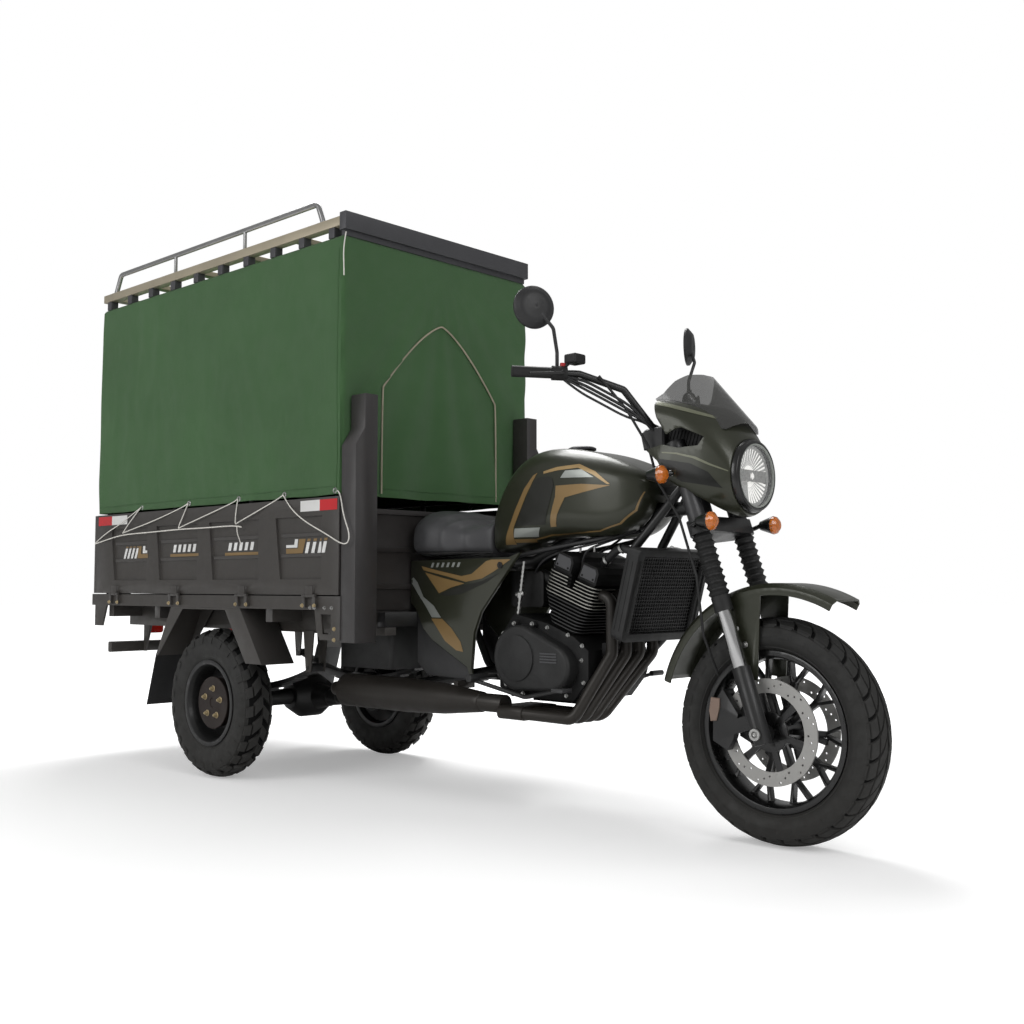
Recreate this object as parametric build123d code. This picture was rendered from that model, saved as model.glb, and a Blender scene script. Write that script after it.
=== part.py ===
"""Cargo motor tricycle: motorcycle front end, open engine, drop-side bed and covered canopy.

It is drawn with the rear axle over x = 0 and the ground at z = 0, +X forward and +Y to
the rider's left, then moved so that the origin is under the middle of its length.
All sizes are in millimetres and all angles in degrees.
"""
import os
from math import cos, radians, sin, sqrt

from build123d import *

# Stance
WHEELBASE = 2200.0
TRACK = 840.0
SEAT_GAP = 0.3            # clearance between a round piece and what it sits in

# Front wheel
FRONT_R = 322.0
FRONT_W = 138.0
FRONT_SEAT_R = 216.0
FRONT_BEAD = 44.0
FRONT_SPOKES = 10

# Rear wheels
REAR_R = 284.0
REAR_W = 130.0
REAR_SEAT_R = 152.0
REAR_BEAD = 50.0
STUDS = 5

# Rim lips, the same on all wheels
LIP_H = 12.0
LIP_T = 6.0
BARREL_T = 8.0

# Steering head and fork
RAKE = 18.5
FORK_OFFSET = 45.0
FORK_HALF = 112.0
TUBE_R = 21.0
SLIDER_R = 26.0
SLIDER_TOP = 190.0
COLLAR_TOP = 400.0
GAITER_R = 31.0
LOWER_YOKE = 590.0
LOWER_YOKE_T = 45.0
UPPER_YOKE = 855.0
UPPER_YOKE_T = 25.0
STEM_R = 15.0
HEAD_TUBE_R = 30.0
YOKE_CLEAR = 5.0

# Brake discs
DISC_R = 150.0
DISC_INNER_R = 110.0
DISC_Y = 62.0
DISC_T = 5.0

# Bed
BED_REAR = -895.0
BED_FRONT = 790.0
BED_HALF = 478.0
RAIL_Z = 648.0
RAIL_TOP = 696.0
RAIL_W = 24.0
FLOOR_T = 12.0
BEAM_Y = 295.0            # main beams, over the springs
BEAM_W = 50.0
BEAM_Z = 560.0
BEAM_H = 80.0
CROSS_X = (-800.0, -420.0, 360.0, 720.0)

# Gates
GATE_T = 26.0
GATE_Z = 700.0
GATE_TOP = 1038.0
RECESS_Z = 755.0
RECESS_TOP = 975.0
RECESS_DEPTH = 10.0
HINGE_OUT = 9.0
HINGE_R = 6.0
HINGE_Z = 697.0
PIN_R = 3.0

# Canopy
TARP_HALF = 468.0
TARP_REAR = -904.0
TARP_FRONT = 790.0
TARP_Z = 1046.0
TARP_TOP = 1948.0
TARP_T = 6.0
BLOCK_H = 37.0
ROOF_BEAM_H = 33.0
ROOF_BEAM_W = 36.0
RACK_R = 10.0
RACK_RISE = 82.0
RACK_REAR = -841.0
RACK_FRONT = 640.0
RACK_HALF = 440.0
POST_R = 12.0

# Front guard of the bed
GUARD_X = 800.0
GUARD_DEPTH = 75.0
GUARD_IN = 380.0
GUARD_OUT = 475.0
GUARD_Z = 540.0
GUARD_TOP = 1387.0
GUARD_SHOULDER = 1270.0

# Engine
CYL_LEAN = 20.0
CYL_X = 1500.0
CYL_Z = 592.0
CYL_HALF = 132.0
CYL_H = 178.0
BARREL_REAR = 38.0
BARREL_FRONT = 44.0
HEAD_REAR = 102.0
HEAD_FRONT = 72.0
HEAD_Z = 100.0
PORT_Z = 150.0            # height of the exhaust and intake ports up the cylinders
FIN_OUT = 16.0
FIN_T = 4.0
FIN_PITCH = 11.0
FIN_CORNER = 30.0
COVER_HALF = 38.0
COVER_H = 54.0
COVER_X = (-64.0, 44.0)
CASE_HALF = 150.0
CASE_Z = 370.0
PIPE_R = 19.0
PIPE_PITCH = 70.0
MUFFLER_R = 60.0
MUFFLER_Y = -190.0
MUFFLER_Z = 348.0

# Frame tubes, and what they reach
DOWN_TOP = (1735.0, PIPE_PITCH, 848.0)
DOWN_LOW = (1700.0, PIPE_PITCH, 600.0)
DOWN_R = 14.0
RAIL_R = 14.0
RAIL_Y = 118.0
PANEL_Y = 162.0
PANEL_T = 14.0
SEAT_Z = 832.0
CASE_FRONT = 1615.0
CASE_REAR = 1235.0
CROSS_REAR = 810.0
CROSS_Z = (590.0, 640.0)
BACKBONE_R = 22.0
BACKBONE = ((1745.0, 962.0), (1560.0, 940.0), (1260.0, 812.0), (845.0, 790.0))

# Springs and rear axle
AXLE_R = 32.0
LEAF_T = 8.0
LEAF_W = 50.0
LEAF_EYE_X = 430.0
LEAF_EYE_Z = 430.0

FRONT_AXLE = Location((WHEELBASE, 0, FRONT_R))
FORK = FRONT_AXLE * Rot(0, -RAKE, 0)
YOKE_TOP = UPPER_YOKE + UPPER_YOKE_T
BODY_REACH = -BED_REAR + GATE_T + 2 * HINGE_OUT + 3
MIDDLE_X = (WHEELBASE + FRONT_R - BODY_REACH) / 2


def spot(place, x, y, z):
    """A point of a placed drawing, in the vehicle's own axes."""
    return (place * Pos(x, y, z)).position


def block(x, y, z):
    """A block between two values on each axis."""
    size = [abs(v[1] - v[0]) for v in (x, y, z)]
    middle = [(v[0] + v[1]) / 2 for v in (x, y, z)]
    return Pos(*middle) * Box(*size)


def outline(points):
    """A closed face through points, straight from one to the next."""
    return make_face(Polyline(*points, close=True))


def side_plate(points, y0, y1):
    """A plate with a side view of (x, z) points, from y0 to y1."""
    plane = Plane(origin=(0, max(y0, y1), 0), x_dir=(1, 0, 0), z_dir=(0, -1, 0))
    return extrude(plane * outline(points), abs(y1 - y0))


def end_plate(points, x0, x1):
    """A plate with an end view of (y, z) points, from x0 to x1."""
    plane = Plane(origin=(min(x0, x1), 0, 0), x_dir=(0, 1, 0), z_dir=(1, 0, 0))
    return extrude(plane * outline(points), abs(x1 - x0))


def rod(start, end, r, r_end=None):
    """A round bar, or a cone, between two points."""
    start, end = Vector(*start), Vector(*end)
    length = (end - start).length
    low = (Align.CENTER, Align.CENTER, Align.MIN)
    shape = Cylinder(r, length, align=low) if r_end is None else Cone(r, r_end, length, align=low)
    return Plane(origin=start, z_dir=end - start) * shape


def tube(points, r, bend):
    """A round bar along straight runs, with a bend at each corner."""
    path = FilletPolyline(*points, radius=bend)
    return sweep(Plane(origin=path @ 0, z_dir=path % 0) * Circle(r), path=path)


def turned(points, axis_at=(0, 0, 0), axis_dir=(0, 0, 1)):
    """A solid turned round a line from (radius, height) points."""
    return Plane(origin=axis_at, z_dir=axis_dir) * revolve(Plane.XZ * outline(points), Axis.Z)


def both(shape):
    """A shape and its mirror image on the other side of the middle plane."""
    return shape + mirror(shape, about=Plane.XZ)


def around(shape, count, start=0.0):
    """Copies of a shape spaced evenly round the Y axis."""
    return [Rot(0, start + k * 360 / count, 0) * shape for k in range(count)]


def tyre(radius, width, seat_r, bead):
    """A tyre section turned round its axle: bead, bulging wall and crown."""
    lip_r = seat_r + LIP_H
    bulge = ((lip_r + radius) / 2, width / 2)
    shoulder = (radius - 0.16 * width, 0.43 * width)
    lines = [Line((seat_r, -bead), (seat_r, bead)), Line((seat_r, bead), (lip_r, bead)),
             ThreePointArc((lip_r, bead), bulge, shoulder),
             ThreePointArc(shoulder, (radius, 0), (shoulder[0], -shoulder[1])),
             ThreePointArc((shoulder[0], -shoulder[1]), (bulge[0], -bulge[1]), (lip_r, -bead)),
             Line((lip_r, -bead), (seat_r, -bead))]
    return revolve(make_face(lines), Axis.Y)


def rim_ring(seat_r, bead):
    """The rim's barrel with a lip at each side and a dropped middle."""
    lip_r = seat_r + LIP_H
    edge = bead + LIP_T
    half = [(lip_r, bead), (lip_r, edge), (seat_r - BARREL_T / 2, edge),
            (seat_r - 1.6 * BARREL_T, bead - 14)]
    points = [(seat_r, bead)] + half + [(r, -y) for r, y in reversed(half)] + [(seat_r, -bead)]
    return revolve(outline(points), Axis.Y)


def bar_on_y(r, y0, y1, r_hole=0.0):
    """A round bar along Y, with a hole if one is given."""
    shape = rod((0, y0, 0), (0, y1, 0), r)
    return shape - rod((0, y0 - 1, 0), (0, y1 + 1, 0), r_hole) if r_hole else shape


# Front wheel: rim with forked spokes, hub and disc carriers, on a fixed axle
AXLE_PIN_R = 10.0
HUB_R = 42.0
SPOKE_HALF_T = 12.0


def forked_spoke(rim_r):
    """One spoke that forks in two towards the rim, seen from the side."""
    stem = outline([(HUB_R - 6, -8), (150, -8), (150, 8), (HUB_R - 6, 8)])
    arm = outline([(136, -4), (148, 10), (rim_r, 38), (rim_r, 26)])
    flat = stem + arm + mirror(arm, about=Plane.XZ)
    return Pos(0, SPOKE_HALF_T, 0) * extrude(Rot(90, 0, 0) * flat, 2 * SPOKE_HALF_T)


def front_rim():
    """The cast front wheel."""
    ring = rim_ring(FRONT_SEAT_R, FRONT_BEAD)
    inner_r = FRONT_SEAT_R - BARREL_T
    hub = bar_on_y(HUB_R, -DISC_Y + 8, DISC_Y - 8)
    carrier = block((HUB_R - 8, DISC_INNER_R + 6), (DISC_Y - 8, DISC_Y), (-9, 9))
    carriers = around(carrier + mirror(carrier, about=Plane.XZ), 6, 15)
    flange = bar_on_y(HUB_R + 14, DISC_Y - 8, DISC_Y)
    wheel = ring + around(forked_spoke(inner_r), FRONT_SPOKES) + hub + carriers + both(flange)
    bore = bar_on_y(AXLE_PIN_R + SEAT_GAP, -DISC_Y - 1, DISC_Y + 1)
    return FRONT_AXLE * (wheel - bore)


def brake_discs():
    """Two drilled discs on the hub's carriers."""
    disc = bar_on_y(DISC_R, DISC_Y, DISC_Y + DISC_T, DISC_INNER_R)
    holes = []
    for row, (r, turn) in enumerate(((122, 0), (131, 7), (140, 14))):
        hole = rod((r, DISC_Y - 1, 0), (r, DISC_Y + DISC_T + 1, 0), 3.2)
        holes += around(hole, 12, turn + row)
    return FRONT_AXLE * both(disc - holes)


def front_tyre():
    """The front tyre."""
    return FRONT_AXLE * tyre(FRONT_R, FRONT_W, FRONT_SEAT_R, FRONT_BEAD)


# Rear wheels: pressed wheel with a deep dish, hub plate and studs
REAR_STUB_R = 14.0
DISH_Y = -8.0
HUB_PLATE_R = 64.0
DRUM_R = 92.0
DRUM_IN = 78.0


def rear_wheel(side):
    """The wheel on one side, with its brake drum inboard, and its tyre."""
    ring = rim_ring(REAR_SEAT_R, REAR_BEAD)
    inner_r = REAR_SEAT_R - BARREL_T
    dish = turned([(0, DISH_Y), (HUB_PLATE_R + 26, DISH_Y), (inner_r, DISH_Y - 26),
                   (inner_r, DISH_Y - 18), (HUB_PLATE_R + 28, DISH_Y + 8), (0, DISH_Y + 8)],
                  axis_dir=(0, 1, 0))
    plate = bar_on_y(HUB_PLATE_R, DISH_Y + 8, DISH_Y + 20)
    stud = rod((44, DISH_Y + 18, 0), (44, DISH_Y + 34, 0), 7)
    cap = rod((0, DISH_Y + 18, 0), (0, DISH_Y + 38, 0), 22, 18)
    drum = bar_on_y(DRUM_R, -DRUM_IN, DISH_Y) - bar_on_y(DRUM_R - 8, -DRUM_IN - 1, -DRUM_IN + 30)
    bore = bar_on_y(REAR_STUB_R + SEAT_GAP, -DRUM_IN - 1, DISH_Y + 4)
    wheel = ring + dish + plate + around(stud, STUDS, 18) + cap + drum - bore
    place = Pos(0, side * TRACK / 2, REAR_R)
    if side < 0:
        wheel = mirror(wheel, about=Plane.XZ)
    return place * wheel, place * tyre(REAR_R, REAR_W, REAR_SEAT_R, REAR_BEAD)


# Fork, drawn upright at the front axle and then raked
def on_fork(shape):
    """A shape drawn upright over the axle, put on the raked fork."""
    return FORK * shape


def legs(radius, z0, z1, hole=0.0):
    """The same upright bar on both fork legs."""
    leg = rod((0, FORK_HALF, z0), (0, FORK_HALF, z1), radius)
    if hole:
        leg -= rod((0, FORK_HALF, z0 - 1), (0, FORK_HALF, z1 + 1), hole)
    return both(leg)


def fork_sliders():
    """Lower legs with the axle lugs and the axle across them."""
    tops = legs(SLIDER_R, -30, SLIDER_TOP)
    axle = rod((0, -FORK_HALF - SLIDER_R - 4, 0), (0, FORK_HALF + SLIDER_R + 4, 0), AXLE_PIN_R)
    lug = rod((0, DISC_Y + DISC_T + 8, 0), (0, FORK_HALF, 0), 22)
    nut = rod((0, FORK_HALF + SLIDER_R - 4, 0), (0, FORK_HALF + SLIDER_R + 4, 0), 17)
    return on_fork(tops + axle + both(lug) + both(nut))


def fork_tubes():
    """Bright upper tubes, from the lower legs to the top yoke."""
    return on_fork(legs(TUBE_R, SLIDER_TOP, UPPER_YOKE + UPPER_YOKE_T))


def fork_gaiters():
    """Rubber bellows with a smooth collar below."""
    hole = TUBE_R + SEAT_GAP
    z0 = COLLAR_TOP - 45
    folds = 9
    pitch = (LOWER_YOKE - COLLAR_TOP) / folds
    points = [(hole, z0), (GAITER_R - 4, z0), (GAITER_R - 4, COLLAR_TOP)]
    for k in range(folds):
        z = COLLAR_TOP + k * pitch
        points += [(GAITER_R - 6, z + 0.1 * pitch), (GAITER_R, z + 0.5 * pitch),
                   (GAITER_R - 6, z + 0.9 * pitch)]
    points += [(GAITER_R - 6, LOWER_YOKE), (hole, LOWER_YOKE)]
    leg = turned(points)
    return on_fork(both(Pos(0, FORK_HALF, 0) * leg))


def yoke(z, thick, lobe_r):
    """One yoke plate, round the two tubes and the stem behind them."""
    lobes = [Pos(0, s * FORK_HALF) * Circle(lobe_r) for s in (-1, 1)]
    stem = Pos(-FORK_OFFSET, 0) * Circle(HEAD_TUBE_R + 4)
    flat = make_hull((lobes[0] + lobes[1] + stem).edges())
    shape = extrude(Pos(0, 0, z) * flat, thick)
    return shape - legs(TUBE_R + SEAT_GAP, z - 1, z + thick + 1)


def yokes():
    """Lower and upper yokes with the steering stem between them."""
    lower = yoke(LOWER_YOKE, LOWER_YOKE_T, 34)
    upper = yoke(UPPER_YOKE, UPPER_YOKE_T, 30)
    stem = rod((-FORK_OFFSET, 0, LOWER_YOKE), (-FORK_OFFSET, 0, UPPER_YOKE + UPPER_YOKE_T + 8), STEM_R)
    return on_fork(lower + upper + stem)


def calipers():
    """A caliper behind each leg, slotted over its disc, on an arm from the leg."""
    body = extrude(outline([(-62, 70), (-88, 150), (-132, 120), (-168, 20), (-128, -18), (-98, 10)]), 53)
    body = Pos(0, 45, 0) * (Rot(90, 0, 0) * body)
    body = Pos(0, 53, 0) * body
    slot = rod((0, DISC_Y - 5, 0), (0, DISC_Y + DISC_T + 5, 0), DISC_R + 6)
    arm = block((-100, -SLIDER_R + 8), (74, 98), (20, 60))
    hub = rod((0, 40, 0), (0, 73, 0), DISC_INNER_R + 12)
    return on_fork(both(body + arm - slot - hub - legs(SLIDER_R + SEAT_GAP, -31, SLIDER_TOP + 1)))


FENDER_R = 400.0
FENDER_HALF = 80.0
FENDER_T = 4.0
FENDER_FROM = 62.0
FENDER_TO = 164.0
FENDER_AT = (WHEELBASE + 25, 0, FRONT_R + 18)


def front_fender():
    """A curved fender with turned-down edges and a bracket plate each side."""
    half, deep = FENDER_HALF, 34.0
    out, inner = FENDER_R, FENDER_R - FENDER_T
    top = half - 16
    points = [(out - deep, -half), (out - 14, -half), (out, -top), (out, top), (out - 14, half),
              (out - deep, half), (out - deep, half - FENDER_T), (inner - 12, half - FENDER_T),
              (inner, top - 2), (inner, 2 - top), (inner - 12, FENDER_T - half),
              (out - deep, FENDER_T - half)]
    start = Rot(0, -FENDER_FROM, 0) * outline(points)
    arc = revolve(start, Axis((0, 0, 0), (0, -1, 0)), FENDER_TO - FENDER_FROM)
    stay = side_plate([(-40, 372), (-135, 350), (-118, 130), (-52, 125)], half - FENDER_T, half)
    boss = rod((-77, half, 138), (-77, FORK_HALF - SLIDER_R - SEAT_GAP, 138), 9)
    return Pos(*FENDER_AT) * (arc + both(stay + boss))


# Lamps, fairing and screen, carried by the fork
LAMP_AT = (2115.0, 0.0, 1053.0)
LENS_R = 92.0
SHELL_T = 5.0


def headlamp():
    """The lamp's bowl, seated in the fairing's mouth, and the lens in front."""
    mouth = FAIRING[-1][1] - SHELL_T - SEAT_GAP
    bowl = [(0, -75), (55, -66), (92, -30), (mouth, -8), (mouth, 4), (mouth - 4, 14), (LENS_R, 16),
            (LENS_R, -2), (0, -20)]
    lens = [(0, -16), (LENS_R - SEAT_GAP, 0), (LENS_R - SEAT_GAP, 12), (60, 22), (0, 28)]
    return turned(bowl, LAMP_AT, (1, 0, 0)), turned(lens, LAMP_AT, (1, 0, 0))


# Fairing sections: place along X, half width, bottom, top and corner radius
FAIRING = ((1858, 168, 1060, 1296, 60), (1950, 158, 1000, 1282, 75), (2040, 138, 945, 1245, 100),
           (2112, 114, 939, 1167, 113.9))


def fairing_body(shrink):
    """The loft through the fairing's sections, made smaller by a wall."""
    sections = []
    for x, half, low, top, corner in FAIRING:
        flat = RectangleRounded(2 * (half - shrink), top - low - 2 * shrink, corner - shrink)
        plane = Plane(origin=(x, 0, (low + top) / 2), x_dir=(0, 1, 0), z_dir=(1, 0, 0))
        sections.append(plane * flat)
    return loft(sections)


def fairing():
    """A shell round the lamp, open behind and below, with an air intake each side."""
    shell = fairing_body(0) - fairing_body(SHELL_T)
    below = side_plate([(1800, 900), (1800, 1128), (1858, 1133), (1894, 1101), (1925, 1040),
                        (1962, 1016), (2016, 988), (2085, 938), (2085, 900)], -200, 200)
    cockpit = side_plate([(1850, 1240), (1935, 1255), (1985, 1320), (1850, 1320)], -112, 112)
    intake = side_plate([(1800, 1300), (1866, 1300), (1893, 1229), (1924, 1178), (1956, 1194),
                         (1974, 1195), (2040, 1164), (2022, 1139), (1960, 1136), (1909, 1149),
                         (1858, 1137), (1800, 1137)], -200, 200)
    return shell - below - cockpit - intake - on_fork(legs(TUBE_R + 6, LOWER_YOKE, UPPER_YOKE)) - stalk_hole()


SCREEN_T = 3.0
SCREEN_LEAN = 42.0


def windscreen():
    """A small curved screen that stands on the fairing."""
    ring = Ellipse(150, 135) - Ellipse(150 - SCREEN_T, 135 - SCREEN_T)
    pipe = extrude(ring, 300)
    place = Pos(2000, 0, 1110) * Rot(0, -SCREEN_LEAN, 0)
    kept = side_plate([(2120, 1180), (2115, 1235), (2012, 1344), (1992, 1360), (1966, 1368),
                       (1942, 1364), (1918, 1345), (1892, 1308), (1866, 1292), (1900, 1270),
                       (2000, 1200)], -150, 150)
    return ((place * pipe) & kept) - fairing_body(-SEAT_GAP)


def instrument():
    """The clock pod, tipped towards the rider, on a foot on the top yoke."""
    pod = Pos(24, 0, 44) * Rot(0, -14, 0) * fillet(Box(66, 118, 52).edges(), 14)
    foot = block((12, 32), (-20, 20), (SEAT_GAP, 30))
    return on_fork(Pos(0, 0, YOKE_TOP) * (pod + foot))


# Indicators: lens centre of each pair, and the points that its stalk starts from
INDICATORS = (((2083, 172, 916), ((2010, FORK_HALF + 34 + SEAT_GAP, 906), (2012, 168, 906))),
              ((1930, 198, 1056), ((1950, 136, 1066), (1946, 146, 1064))))
LAMP_BULLET_R = 28.0
STALK_R = 7.0
STALK_END = 46.0
COLLAR_Z = 780.0
COLLAR_H = 36.0


def stalk_hole():
    """Room for the upper indicators' stalks through the fairing's sides."""
    (x, y, z), (root, bend) = INDICATORS[1]
    return both(rod(root, bend, STALK_R + 2) + rod(bend, (x - STALK_END, y, z), STALK_R + 2))


def collars():
    """Clamps on the fork tubes, each with an ear that holds the fairing's side."""
    ring = legs(TUBE_R + 6, COLLAR_Z, COLLAR_Z + COLLAR_H, TUBE_R + SEAT_GAP)
    ear = block((-9, 9), (FORK_HALF + TUBE_R + 3, 180), (COLLAR_Z + COLLAR_H - 11, COLLAR_Z + COLLAR_H))
    inside = fairing_body(SHELL_T + SEAT_GAP)
    return on_fork(ring) + (on_fork(both(ear)) & inside)


def indicators():
    """Bullet lamps, and their amber lenses, on short stalks."""
    bodies, lenses = [], []
    for (x, y, z), (root, bend) in INDICATORS:
        cup = turned([(0, -52), (14, -44), (LAMP_BULLET_R, 0), (0, 0)], (x, y, z), (1, 0, 0))
        stalk = rod(root, bend, STALK_R) + rod(bend, (x - STALK_END, y, z), STALK_R)
        bodies.append(both(cup + stalk))
        dome = turned([(0, SEAT_GAP), (LAMP_BULLET_R - 1, SEAT_GAP), (LAMP_BULLET_R - 2, 8), (16, 17),
                       (0, 20)], (x, y, z), (1, 0, 0))
        lenses.append(both(dome))
    return bodies[0] + bodies[1] + collars(), lenses[0] + lenses[1]


# Handlebar: points on the rider's left, from the middle outwards
BAR_R = 11.0
RISER = 50.0
RISER_X = -40.0
BAR_MID = spot(FORK, RISER_X, 60, YOKE_TOP + RISER)
BAR_POINTS = (tuple(BAR_MID), (1842, 118, 1212), (1790, 190, 1322), (1700, 290, 1368),
              (1576, 450, 1371))
GRIP_R = 17.0
GRIP_LENGTH = 118.0


def handlebar():
    """One bent bar with two clamps on the top yoke."""
    right = [(x, -y, z) for x, y, z in reversed(BAR_POINTS)]
    bar = tube(right + list(BAR_POINTS), BAR_R, 18)
    foot = rod((RISER_X, 40, YOKE_TOP + SEAT_GAP), (RISER_X, 40, YOKE_TOP + RISER), 14)
    clamp = rod((RISER_X, 27, YOKE_TOP + RISER), (RISER_X, 53, YOKE_TOP + RISER), 20)
    return bar + on_fork(both(foot + clamp))


def bar_controls():
    """Grips, switch blocks, levers and the brake's fluid cup."""
    end, knee = Vector(*BAR_POINTS[4]), Vector(*BAR_POINTS[3])
    along = (end - knee).normalized()
    inner = end - along * GRIP_LENGTH
    hole = BAR_R + SEAT_GAP
    grip = rod(tuple(inner), tuple(end + along * 4), GRIP_R)
    grip -= rod(tuple(inner - along), tuple(end + along * SEAT_GAP), hole)
    near = inner - along * 45
    housing = rod(tuple(near), tuple(inner), GRIP_R + 5) - rod(tuple(near - along), tuple(inner + along), hole)
    pivot = inner - along * 20 + Vector(26, 6, -4)
    tip = end + Vector(50, -20, -12)
    lever = rod(tuple(pivot), tuple(tip), 6) + rod(tuple(pivot - Vector(10, 4, -4)), tuple(pivot), 9)
    side = grip + housing + (lever - rod(tuple(near), tuple(end), hole))
    cup = fillet((Pos(near.X + 16, -near.Y + 20, near.Z + 44) * Box(46, 52, 30)).edges(), 6)
    neck = rod((near.X - 5, -near.Y - 6, near.Z + 20), (near.X + 6, -near.Y + 8, near.Z + 36), 7)
    return both(side) + cup + neck


MIRROR_AT = (1612.0, 400.0, 1566.0)
MIRROR_R = 65.0


def mirrors():
    """Round mirrors on bent stalks from the switch blocks."""
    x, y, z = MIRROR_AT
    end, knee = Vector(*BAR_POINTS[4]), Vector(*BAR_POINTS[3])
    base = end - (end - knee).normalized() * (GRIP_LENGTH + 16) + Vector(0, 0, GRIP_R + 5 + SEAT_GAP)
    stalk = tube([tuple(base), (base.X, base.Y, 1432), (base.X + 8, base.Y + 26, 1500), (x + 12, y, z)],
                 5.5, 20)
    facing = Vector(-0.9, -0.42, 0.0)
    back = turned([(0, 0), (MIRROR_R, 0), (MIRROR_R, -8), (45, -24), (0, -30)], MIRROR_AT, facing)
    return both(stalk + back)


def brake_hoses():
    """Hoses from the bar down the fork to the calipers."""
    inner = [(1752, -262, 1360), (1806, -200, 1262), (1848, -146, 1150), (1884, -148, 1040),
             (1962, -152, 930), (2020, -152, 760), (2034, -140, 590), (2046, -84, 474)]
    return both(tube(inner, 4, 26))


# Motorcycle frame
def frame_tubes():
    """Head tube, backbone, downtubes, seat rails and lower rails."""
    low = LOWER_YOKE + LOWER_YOKE_T + YOKE_CLEAR
    high = UPPER_YOKE - YOKE_CLEAR
    head = rod((-FORK_OFFSET, 0, low), (-FORK_OFFSET, 0, high), HEAD_TUBE_R)
    hole = rod((-FORK_OFFSET, 0, low - 1), (-FORK_OFFSET, 0, high + 1), STEM_R + 0.5)
    mid = spot(FORK, -FORK_OFFSET, 0, low + 60)
    foot = spot(FORK, -FORK_OFFSET, 0, low + 150)
    backbone = tube([(mid.X, 0, mid.Z)] + [(x, 0, z) for x, z in BACKBONE], BACKBONE_R, 60)
    down = tube([(foot.X, 20, foot.Z), DOWN_TOP, DOWN_LOW, (CASE_FRONT + 21, PIPE_PITCH, 532)], DOWN_R, 30)
    engine_plate = block((CASE_FRONT + SEAT_GAP, CASE_FRONT + 26), (PIPE_PITCH - 13, PIPE_PITCH + 13),
                         (508, 552))
    rail_z = SEAT_Z - RAIL_R - SEAT_GAP
    seat_rail = tube([(1180, 10, 796), (1120, RAIL_Y, rail_z), (870, RAIL_Y, rail_z),
                      (836, RAIL_Y, 630)], RAIL_R, 30)
    lower = tube([(CASE_REAR - SEAT_GAP, RAIL_Y, 430), (930, RAIL_Y, 430), (842, RAIL_Y, 600)], RAIL_R, 60)
    bosses = [rod((x, RAIL_Y, rail_z - 9), (x, PANEL_Y - SEAT_GAP, rail_z - 9), 6) for x in (900, 1090)]
    bosses.append(rod((985, RAIL_Y, 430), (985, PANEL_Y - 6 - SEAT_GAP, 430), 7))
    cross = block((CROSS_REAR, CROSS_REAR + 40), (-BEAM_Y - BEAM_W / 2, BEAM_Y + BEAM_W / 2), CROSS_Z)
    upright = rod((845, 0, 790), (830, 0, 630), 16)
    nose_x, _, nose_low, _, _ = TANK[-1]
    tank_stop = block((nose_x + SEAT_GAP, 1900), (-12, 12), (nose_low + 12, nose_low + 38))
    tubes = on_fork(head) + backbone + cross + upright + tank_stop
    tubes += both(down + engine_plate + seat_rail + lower + bosses)
    return tubes - on_fork(hole)


# Engine
CYL = Pos(CYL_X, 0, CYL_Z) * Rot(0, CYL_LEAN, 0)


def cylinders():
    """The leaning barrels and their wider head, with round-cornered fins, and two cam covers."""
    barrel = block((-BARREL_REAR, BARREL_FRONT), (-CYL_HALF, CYL_HALF), (0, HEAD_Z))
    head = block((-HEAD_REAR, HEAD_FRONT), (-CYL_HALF, CYL_HALF), (HEAD_Z, CYL_H))
    fins = []
    for k in range(1, int(CYL_H / FIN_PITCH)):
        z = k * FIN_PITCH
        up = min(1.0, z / HEAD_Z)
        rear = BARREL_REAR + (HEAD_REAR - BARREL_REAR) * up + FIN_OUT
        front = BARREL_FRONT + (HEAD_FRONT - BARREL_FRONT) * up + FIN_OUT
        flat = RectangleRounded(rear + front, 2 * (CYL_HALF + FIN_OUT), FIN_CORNER)
        fins.append(Pos((front - rear) / 2, 0, z) * extrude(flat, FIN_T))
    half = CYL_HALF + 10
    covers = [side_plate([(x - COVER_HALF, CYL_H), (x - COVER_HALF + 6, CYL_H + COVER_H),
                          (x + COVER_HALF - 12, CYL_H + COVER_H), (x + COVER_HALF, CYL_H + COVER_H - 16),
                          (x + COVER_HALF, CYL_H)], -half, half) for x in COVER_X]
    mid = (COVER_X[0] + COVER_X[1]) / 2
    notch = side_plate([(mid - 18, CYL_H + 1), (mid - 12, CYL_H - 44), (mid + 12, CYL_H - 44),
                        (mid + 18, CYL_H + 1)], CYL_HALF - 30, CYL_HALF + FIN_OUT + 1)
    return CYL * (barrel + head + fins + covers - both(notch))


AIR_BOX_X = (1240.0, 1385.0)
AIR_BOX_HALF = 100.0
AIR_BOX_Z = (662.0, 780.0)
CARB_R = 20.0


def air_box():
    """The dark box behind the cylinders, with four carburettors that reach the head."""
    port = PORT_Z - 32
    box = block(AIR_BOX_X, (-AIR_BOX_HALF, AIR_BOX_HALF), AIR_BOX_Z)
    box = fillet(box.edges().filter_by(Axis.Y), 16)
    carbs = []
    for k in range(4):
        y = (k - 1.5) * 50
        start = spot(CYL, -HEAD_REAR - FIN_OUT - SEAT_GAP, y, port)
        end = spot(CYL, -HEAD_REAR - 90, y, port)
        carbs.append(rod((start.X, y, start.Z), (end.X, y, end.Z), CARB_R))
        bowl = (start.X + end.X) / 2 + 8
        carbs.append(rod((bowl, y, end.Z), (bowl, y, end.Z - 52), CARB_R - 3))
    return box + carbs


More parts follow.
